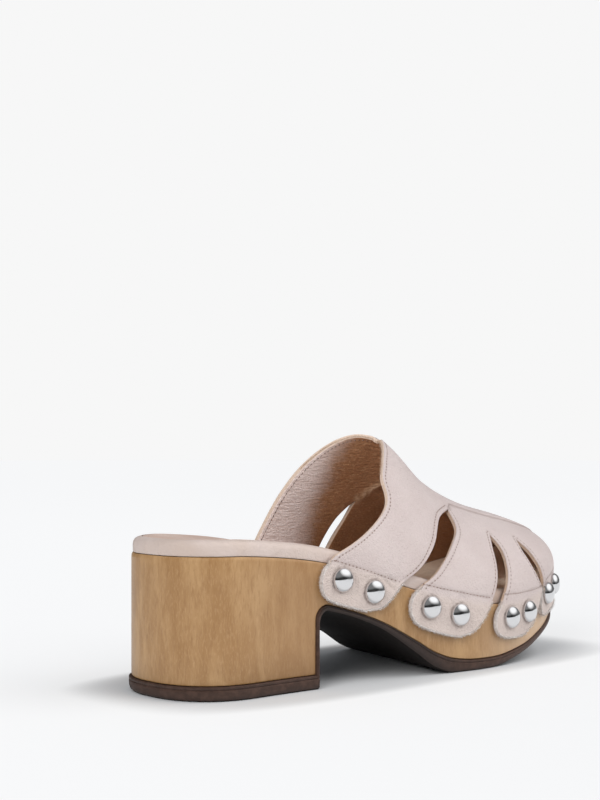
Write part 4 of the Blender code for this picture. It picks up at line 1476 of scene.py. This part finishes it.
class Layout:
    """A geometry node tree with named inputs, run once on a carrier mesh and turned into plain mesh."""

    def __init__(self, name):
        self.tree = bpy.data.node_groups.new(name, "GeometryNodeTree")
        self.wire = Wire(self.tree)
        self.group_in = self.tree.nodes.new("NodeGroupInput")
        self.group_out = self.tree.nodes.new("NodeGroupOutput")
        self.tree.interface.new_socket("Geometry", in_out="OUTPUT", socket_type="NodeSocketGeometry")
        self.values = {}
        self.carrier = self.named("Geometry", "NodeSocketGeometry")

    def named(self, title, kind="NodeSocketFloat", value=None):
        socket = self.tree.interface.new_socket(title, in_out="INPUT", socket_type=kind)
        if value is not None:
            self.values[socket.identifier] = value
        return Wire(self.tree, self.group_in.outputs[title])

    def length(self, title, size):
        """A named input in metres for a size in mm."""
        return self.named(title, value=size * MM)

    def facing(self):
        """The direction stored on the carrier's points."""
        settings = {"data_type": "FLOAT_VECTOR"}
        return self.wire.make("GeometryNodeInputNamedAttribute", settings, {"Name": "facing"})

    def chance(self, low, high, seed):
        inputs = {2: low, 3: high, "Seed": seed}
        return self.wire.make("FunctionNodeRandomValue", {"data_type": "FLOAT"}, inputs, 1)

    def vector(self, x, y, z):
        return self.wire.make("ShaderNodeCombineXYZ", {}, {"X": x, "Y": y, "Z": z})

    def turned(self, axis, vector, rotation=None, pivot="AUTO"):
        settings = {"axis": axis, "pivot_axis": pivot}
        inputs = {"Vector": vector}
        if rotation is not None:
            inputs["Rotation"] = rotation
        return self.wire.make("FunctionNodeAlignRotationToVector", settings, inputs)

    def carrier_lines(self):
        return self.wire.make("GeometryNodeMeshToCurve", {}, {0: self.carrier})

    def even_points(self, line, pitch):
        inputs = {"Curve": line, "Length": pitch}
        return self.wire.make("GeometryNodeResampleCurve", {"mode": "LENGTH"}, inputs)

    def set_out(self, points, shape, turn, size=(1.0, 1.0, 1.0)):
        """The shape once at every point."""
        inputs = {"Points": points, "Instance": shape, "Rotation": turn, "Scale": size}
        return self.wire.make("GeometryNodeInstanceOnPoints", {}, inputs)

    def run(self, name, carrier, instances, material):
        """Realize the instances with their material on a carrier object, which becomes the plain piece."""
        whole = self.wire.make("GeometryNodeRealizeInstances", {}, {0: instances})
        cover = self.named("Material", "NodeSocketMaterial", material)
        whole = whole.make("GeometryNodeSetMaterial", {}, {"Geometry": whole, "Material": cover})
        self.wire.feed(self.group_out.inputs[0], whole)
        modifier = carrier.modifiers.new(name, "NODES")
        modifier.node_group = self.tree
        for identifier, value in self.values.items():
            modifier[identifier] = value
        view = bpy.context.evaluated_depsgraph_get()
        mesh = bpy.data.meshes.new_from_object(carrier.evaluated_get(view))
        carrier.modifiers.remove(modifier)
        mesh.name = name
        mesh.shade_smooth()
        carrier.data = mesh
        carrier.name = name
        return carrier


def carrier_object(name, lines):
    """Lines of points in mm, each with the direction stored at its points."""
    points = []
    directions = []
    links = []
    for spots, facing in lines:
        links += [(i, i + 1) for i in range(len(points), len(points) + len(spots) - 1)]
        points.extend(spots)
        directions.extend(facing)
    mesh = plain_mesh(name, in_part(points).tolist(), links, [])
    layer = mesh.attributes.new("facing", "FLOAT_VECTOR", "POINT")
    layer.data.foreach_set("vector", np.asarray(directions, np.float32).ravel())
    return linked(name, mesh)


def nail_head_dome():
    """One nail head, turned about Z."""
    profile = [(radius * MM, height * MM) for radius, height in STUD_PROFILE]
    points, faces = turned_rings(profile, STUD_SIDES)
    crown = len(points)
    last_ring = list(range(crown - STUD_SIDES, crown))
    points.append((0, 0, STUD_CROWN * MM))
    faces += [(a, b, crown) for a, b in zip(last_ring, last_ring[1:] + last_ring[:1])]
    faces.append(tuple(reversed(range(STUD_SIDES))))
    return bpy.data.objects.new("nail_head_dome", plain_mesh("nail_head_dome", points, [], faces))


def nail_heads(material):
    """All sixteen studs, one turned dome set at each seat."""
    dome = nail_head_dome()
    carrier = carrier_object("nail_seats", [([seat], [normal]) for seat, normal in stud_seats()])
    layout = Layout("nail_heads_layout")
    shape = layout.named("Dome", "NodeSocketObject", dome)
    info = layout.wire.make("GeometryNodeObjectInfo", {"transform_space": "ORIGINAL"}, {"Object": shape}, 4)
    heads = layout.set_out(layout.carrier, info, layout.turned("Z", layout.facing()))
    piece = layout.run("nail_heads", carrier, heads, material)
    bpy.data.objects.remove(dome)
    return piece


def runs_of(places, wanted):
    """Unbroken runs of the wanted places of a closed line."""
    order = np.roll(np.arange(len(places)), -int(np.argmin(wanted)))
    breaks = np.flatnonzero(np.diff(wanted[order])) + 1
    runs = [run for run in np.split(order, breaks) if wanted[run[0]]]
    return [places[run] for run in runs if len(run) >= SHORTEST_RUN]


def stitch_lines(wall):
    """Points of every seam of the outer face, then of those inside the collar, and the way they face."""
    places, free = wall.row(EDGE_SEAM)
    outer = runs_of(places, free & (wall.levels > STITCHED_ABOVE))
    outer += [line for _, line in seam_lines(STITCH_LINE_STEP)]
    lines = []
    for path in outer:
        base, normals = last_points(path), last_normals(path)
        height, _ = wall.relief(path, flat_points(path), base)
        lines.append((base + normals * (UPPER_WALL + height)[:, None], normals))
    places, free = wall.row(LINING_EDGE_SEAM)
    inner = runs_of(places, free & wall.collar_edge())
    return lines + [(last_points(path), -last_normals(path)) for path in inner]


def seam_beads(wall, name, offset, length, radius, material):
    """Beads at an even pitch along every seam: stitches of thread, or the needle holes between them."""
    carrier = carrier_object(f"{name}_lines", stitch_lines(wall))
    layout = Layout(f"{name}_layout")
    pitch = layout.length("Pitch", STITCH_PITCH)
    start = layout.length("Start", offset)
    length = layout.length("Length", length)
    radius = layout.length("Radius", radius)
    inputs = {"Curve": layout.carrier_lines(), 4: start, 5: PAST_ANY_SEAM}
    trimmed = layout.wire.make("GeometryNodeTrimCurve", {"mode": "LENGTH"}, inputs)
    points = layout.even_points(trimmed, pitch)
    turn = layout.turned("X", layout.wire.make("GeometryNodeInputTangent"))
    turn = layout.turned("Z", layout.facing(), turn, "X")
    inputs = {"Segments": BEAD_SEGMENTS, "Rings": BEAD_RINGS, "Radius": 1.0}
    bead = layout.wire.make("GeometryNodeMeshUVSphere", {}, inputs)
    size = layout.vector(length * 0.5, radius, radius * BEAD_FLATNESS)
    return layout.run(name, carrier, layout.set_out(points, bead, turn, size), material)


def fibre_lines(wall):
    """Points along the raw edges of the tabs and along the collar, and the way the fibres stand there."""
    base, normals = last_points(wall.rim), last_normals(wall.rim)
    raw = wall.levels < SMOOTH_END
    collar = (wall.levels > FIBRE_COLLAR_LEVEL) & (wall.rim[:, 1] > FIBRE_COLLAR_STATION)
    lines = []
    for wanted, shares in ((raw, RAW_FIBRE_ROWS), (collar, COLLAR_FIBRE_ROWS)):
        for share in shares:
            for run in runs_of(np.arange(len(wall.rim)), wanted):
                out = normals[run] * (share - FIBRE_MIDDLE) * FIBRE_FAN - wall.across[run]
                roots = base[run] + wall.across[run] * FIBRE_ROOT + normals[run] * UPPER_WALL * share
                lines.append((roots, unit(out)))
    return lines


def edge_fibres(wall, material):
    """Short fibres standing out of the raw edges of the tabs and of the collar's edge."""
    carrier = carrier_object("raw_edges", fibre_lines(wall))
    layout = Layout("fibre_layout")
    pitch = layout.length("Pitch", FIBRE_PITCH)
    length = layout.length("Length", FIBRE_LENGTH)
    radius = layout.length("Radius", FIBRE_RADIUS)
    points = layout.even_points(layout.carrier_lines(), pitch)
    lean = layout.vector(*(layout.chance(*chance) for chance in FIBRE_LEAN))
    turn = layout.turned("Z", layout.wire.vector_math("ADD", layout.facing(), lean))
    inputs = {"Vertices": FIBRE_SIDES, "Radius Top": 0.0, "Radius Bottom": 1.0, "Depth": 1.0}
    hair = layout.wire.make("GeometryNodeMeshCone", {}, inputs)
    size = layout.vector(radius, radius, length * layout.chance(*FIBRE_SHARE))
    return layout.run("edge_fibres", carrier, layout.set_out(points, hair, turn, size), material)


# Sole pieces

def outsole_object():
    rungs = []
    for under, wood, _ in sole_rungs():
        reach = Vector(wood) - Vector(under)
        rungs.append((under, tuple(Vector(under) + reach * (1 - GAP / reach.xy.length))))
    points, faces, rows = sole_slab(rungs, OUTSOLE_SIDE)
    slots = [1 if row < UNDERSIDE_ROWS else 0 for row in rows]
    return make_object("rubber_outsole", points, faces, [rubber_finish(), tread_finish()], slots)


def wooden_sole_object():
    rungs = [(wood, top) for _, wood, top in sole_rungs()]
    points, faces, _ = sole_slab(rungs, WOOD_SIDE)
    return make_object("carved_wood_sole", points, faces, [wood_finish()])


def footbed_object():
    ball_x = BALL_X[LATERAL]
    stations = heel_stations(HEEL_RUNGS)
    stations += even_stations(HEEL_ROUND, ball_x, FOOTBED_WAIST_RUNGS) + toe_stations(ball_x, TOE_RUNGS)
    rungs = [((x, wood_top(x) + GAP, 0.0), (x, wood_top(x) + FOOTBED_THICKNESS, 0.0)) for x in stations]
    points, faces, rows = sole_slab(rungs, FOOTBED_SIDE, FOOTBED_DISH)
    # Light and dark tone of each leather, then a darker one painted as shade where the upper covers it
    colours = srgb(200, 184, 176), srgb(192, 174, 163), srgb(188, 166, 152)
    rim = footbed_finish("footbed_rim_leather", *colours)
    colours = srgb(206, 184, 172), srgb(196, 170, 156), srgb(208, 172, 142)
    sock = footbed_finish("footbed_sock_leather", *colours)
    groove = Finish("footbed_sock_seam", Base_Color=srgb(120, 96, 84), Roughness=0.8).material
    slots = [1 if row >= SOCK_ROW else 2 if row in SOCK_SEAM_ROWS else 0 for row in rows]
    return make_object("padded_footbed", points, faces, [rim, sock, groove], slots, 50.0)


# Studio

def soft_light(name, place, target, size, power):
    data = bpy.data.lights.new(name, "AREA")
    data.shape = "RECTANGLE"
    data.size, data.size_y = size
    data.energy = power
    light = linked(name, data)
    light.location = place
    light.rotation_euler = (Vector(target) - Vector(place)).to_track_quat("-Z", "Y").to_euler()
    light.visible_glossy = False
    return light


def surround_finish():
    """Dim studio walls, near black low on the camera's side, with the soft glow of a wide lamp above."""
    walls = Finish("studio_walls", Base_Color=grey(0.0), Roughness=1.0, Specular_IOR_Level=0.0)
    x, y, height = (walls.axis(index) * MM / WALLS_RADIUS for index in range(3))
    far = (x * math.sin(CAMERA_TURN) + y * math.cos(CAMERA_TURN)).ramp(*NEAR_TO_FAR)
    near_side = height.ramp(*NEAR_WALL_RISE).mix(*map(grey, NEAR_WALL))
    far_side = height.ramp(*FAR_WALL_RISE).mix(*map(grey, FAR_WALL))
    lamp = walls.wire.vector_math("DOT_PRODUCT", walls.place(), GLOW_TOWARDS, output=1)
    by_lamp = (lamp / WALLS_RADIUS).ramp(*GLOW_SPREAD)
    walls.glow(by_lamp.mix(far.mix(near_side, far_side), grey(GLOW)))
    return walls.material


def backdrop_finish():
    sheet = Finish("white_backdrop", Base_Color=grey(0.0), Specular_IOR_Level=0.0)
    sheet.glow(grey(BACKDROP))
    return sheet.material


def studio_dome(name, radius, material, seen_by):
    """Dome over the studio that only one kind of ray meets."""
    rises = [math.pi / 2 * row / SURROUND_ROWS for row in range(SURROUND_ROWS + 1)]
    profile = [(radius * math.cos(rise), radius * math.sin(rise)) for rise in rises]
    points, faces = turned_rings(profile, SURROUND_PIECES)
    inward = [face[::-1] for face in faces]
    dome = linked(name, plain_mesh(name, points, [], inward, [material]))
    for ray in ("camera", "glossy", "diffuse", "transmission", "volume_scatter", "shadow"):
        setattr(dome, f"visible_{ray}", ray == seen_by)
    return dome


def lamp_light(finish, lamp):
    """Light of one lamp on the open floor, as a share of full white."""
    _, place, target, _, power = lamp
    axis = (Vector(place) - Vector(target)).normalized()
    way = finish.wire.vector_math("SUBTRACT", place, finish.place())
    far = way.vector_math("LENGTH", way, output=1)
    facing = way.vector_math("DOT_PRODUCT", way, axis, output=1)
    return facing.math("MAXIMUM", facing, 0.0) * (LAMP_SPREAD * power * place[2] / math.pi ** 2) / far ** 4.0


def floor_finish():
    """White floor that glows where the lamps fall off, so that it runs evenly into the backdrop."""
    white = Finish("white_floor", Roughness=0.9, Specular_IOR_Level=0.0)
    along, across = (white.axis(index) / half for index, half in enumerate(FLOOR_PATCH))
    open_floor = (along ** FLOOR_PATCH_POWER + across ** FLOOR_PATCH_POWER).ramp(*FLOOR_PATCH_EDGE)
    light = lamp_light(white, TOP_LIGHT) + lamp_light(white, COLLAR_LIGHT) + ROOM_LIGHT
    white.put("Base Color", open_floor.mix(grey(FLOOR_NEAR), grey(FLOOR_FAR)))
    white.glow(open_floor * (BACKDROP - FLOOR_FAR * light))
    return white.material


def floor_object():
    half = BACKDROP_RADIUS
    corners = [(-half, -half, 0.0), (half, -half, 0.0), (half, half, 0.0), (-half, half, 0.0)]
    return linked("floor", plain_mesh("floor", corners, [], [(0, 1, 2, 3)], [floor_finish()]))


def studio():
    """White floor and surroundings, a wide overhead light, a low light into the collar and dim walls."""
    scene = bpy.context.scene
    scene.view_settings.view_transform = "Standard"
    world = bpy.data.worlds.new("white_studio")
    world.use_nodes = True
    room = world.node_tree.nodes["Background"]
    room.inputs["Color"].default_value = (*ROOM_TINT, 1.0)
    room.inputs["Strength"].default_value = ROOM_LIGHT
    scene.world = world
    floor = floor_object()
    top = soft_light(*TOP_LIGHT)
    collar = soft_light(*COLLAR_LIGHT)
    walls = studio_dome("studio_walls", WALLS_RADIUS, surround_finish(), "glossy")
    backdrop = studio_dome("white_backdrop", BACKDROP_RADIUS, backdrop_finish(), "camera")


def camera():
    data = bpy.data.cameras.new("camera")
    data.sensor_fit = "VERTICAL"
    data.sensor_width = CAMERA_SENSOR
    data.sensor_height = CAMERA_SENSOR
    data.lens = CAMERA_LENS
    data.shift_y = CAMERA_SHIFT
    data.clip_start = CAMERA_CLIP
    view = linked("camera", data)
    view.location = in_part(CAMERA_AT)
    forward = Vector((math.sin(CAMERA_TURN), math.cos(CAMERA_TURN), 0.0))
    view.rotation_euler = forward.to_track_quat("-Z", "Y").to_euler()
    bpy.context.scene.camera = view


# Shoe

def shoe():
    wall = UpperWall()
    upper = upper_object(wall, [upper_leather_finish(), cut_edge_finish(), lining_finish()])
    footbed = footbed_object()
    wood = wooden_sole_object()
    rubber = outsole_object()
    heads = nail_heads(chrome_finish())
    threads = seam_beads(wall, "thread_stitches", 0.0, STITCH_LENGTH, STITCH_RADIUS, thread_finish())
    holes = seam_beads(
        wall, "needle_holes", STITCH_PITCH / 2, NEEDLE_HOLE_LENGTH, NEEDLE_HOLE_RADIUS, needle_hole_finish())
    fibres = edge_fibres(wall, fibre_finish())
    tabs = [(side, tab) for side in ("lateral", "medial") for tab in range(1, len(STUDS) + 1)]
    nodes = [f"stud_{side}_{tab}_{nail}" for side, tab in tabs for nail in (1, 2)]
    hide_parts("upper")
    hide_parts("footbed")
    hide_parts("wooden_sole")
    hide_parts("outsole")
    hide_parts(*nodes)
    slots = ((upper, "leather"), (footbed, "footbed_leather"), (wood, "wood"), (rubber, "rubber"),
             (heads, "chrome"), (threads, "leather"), (holes, "leather"), (fibres, "leather"))
    for piece, slot in slots:
        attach(piece, "root")


shoe()
studio()
camera()
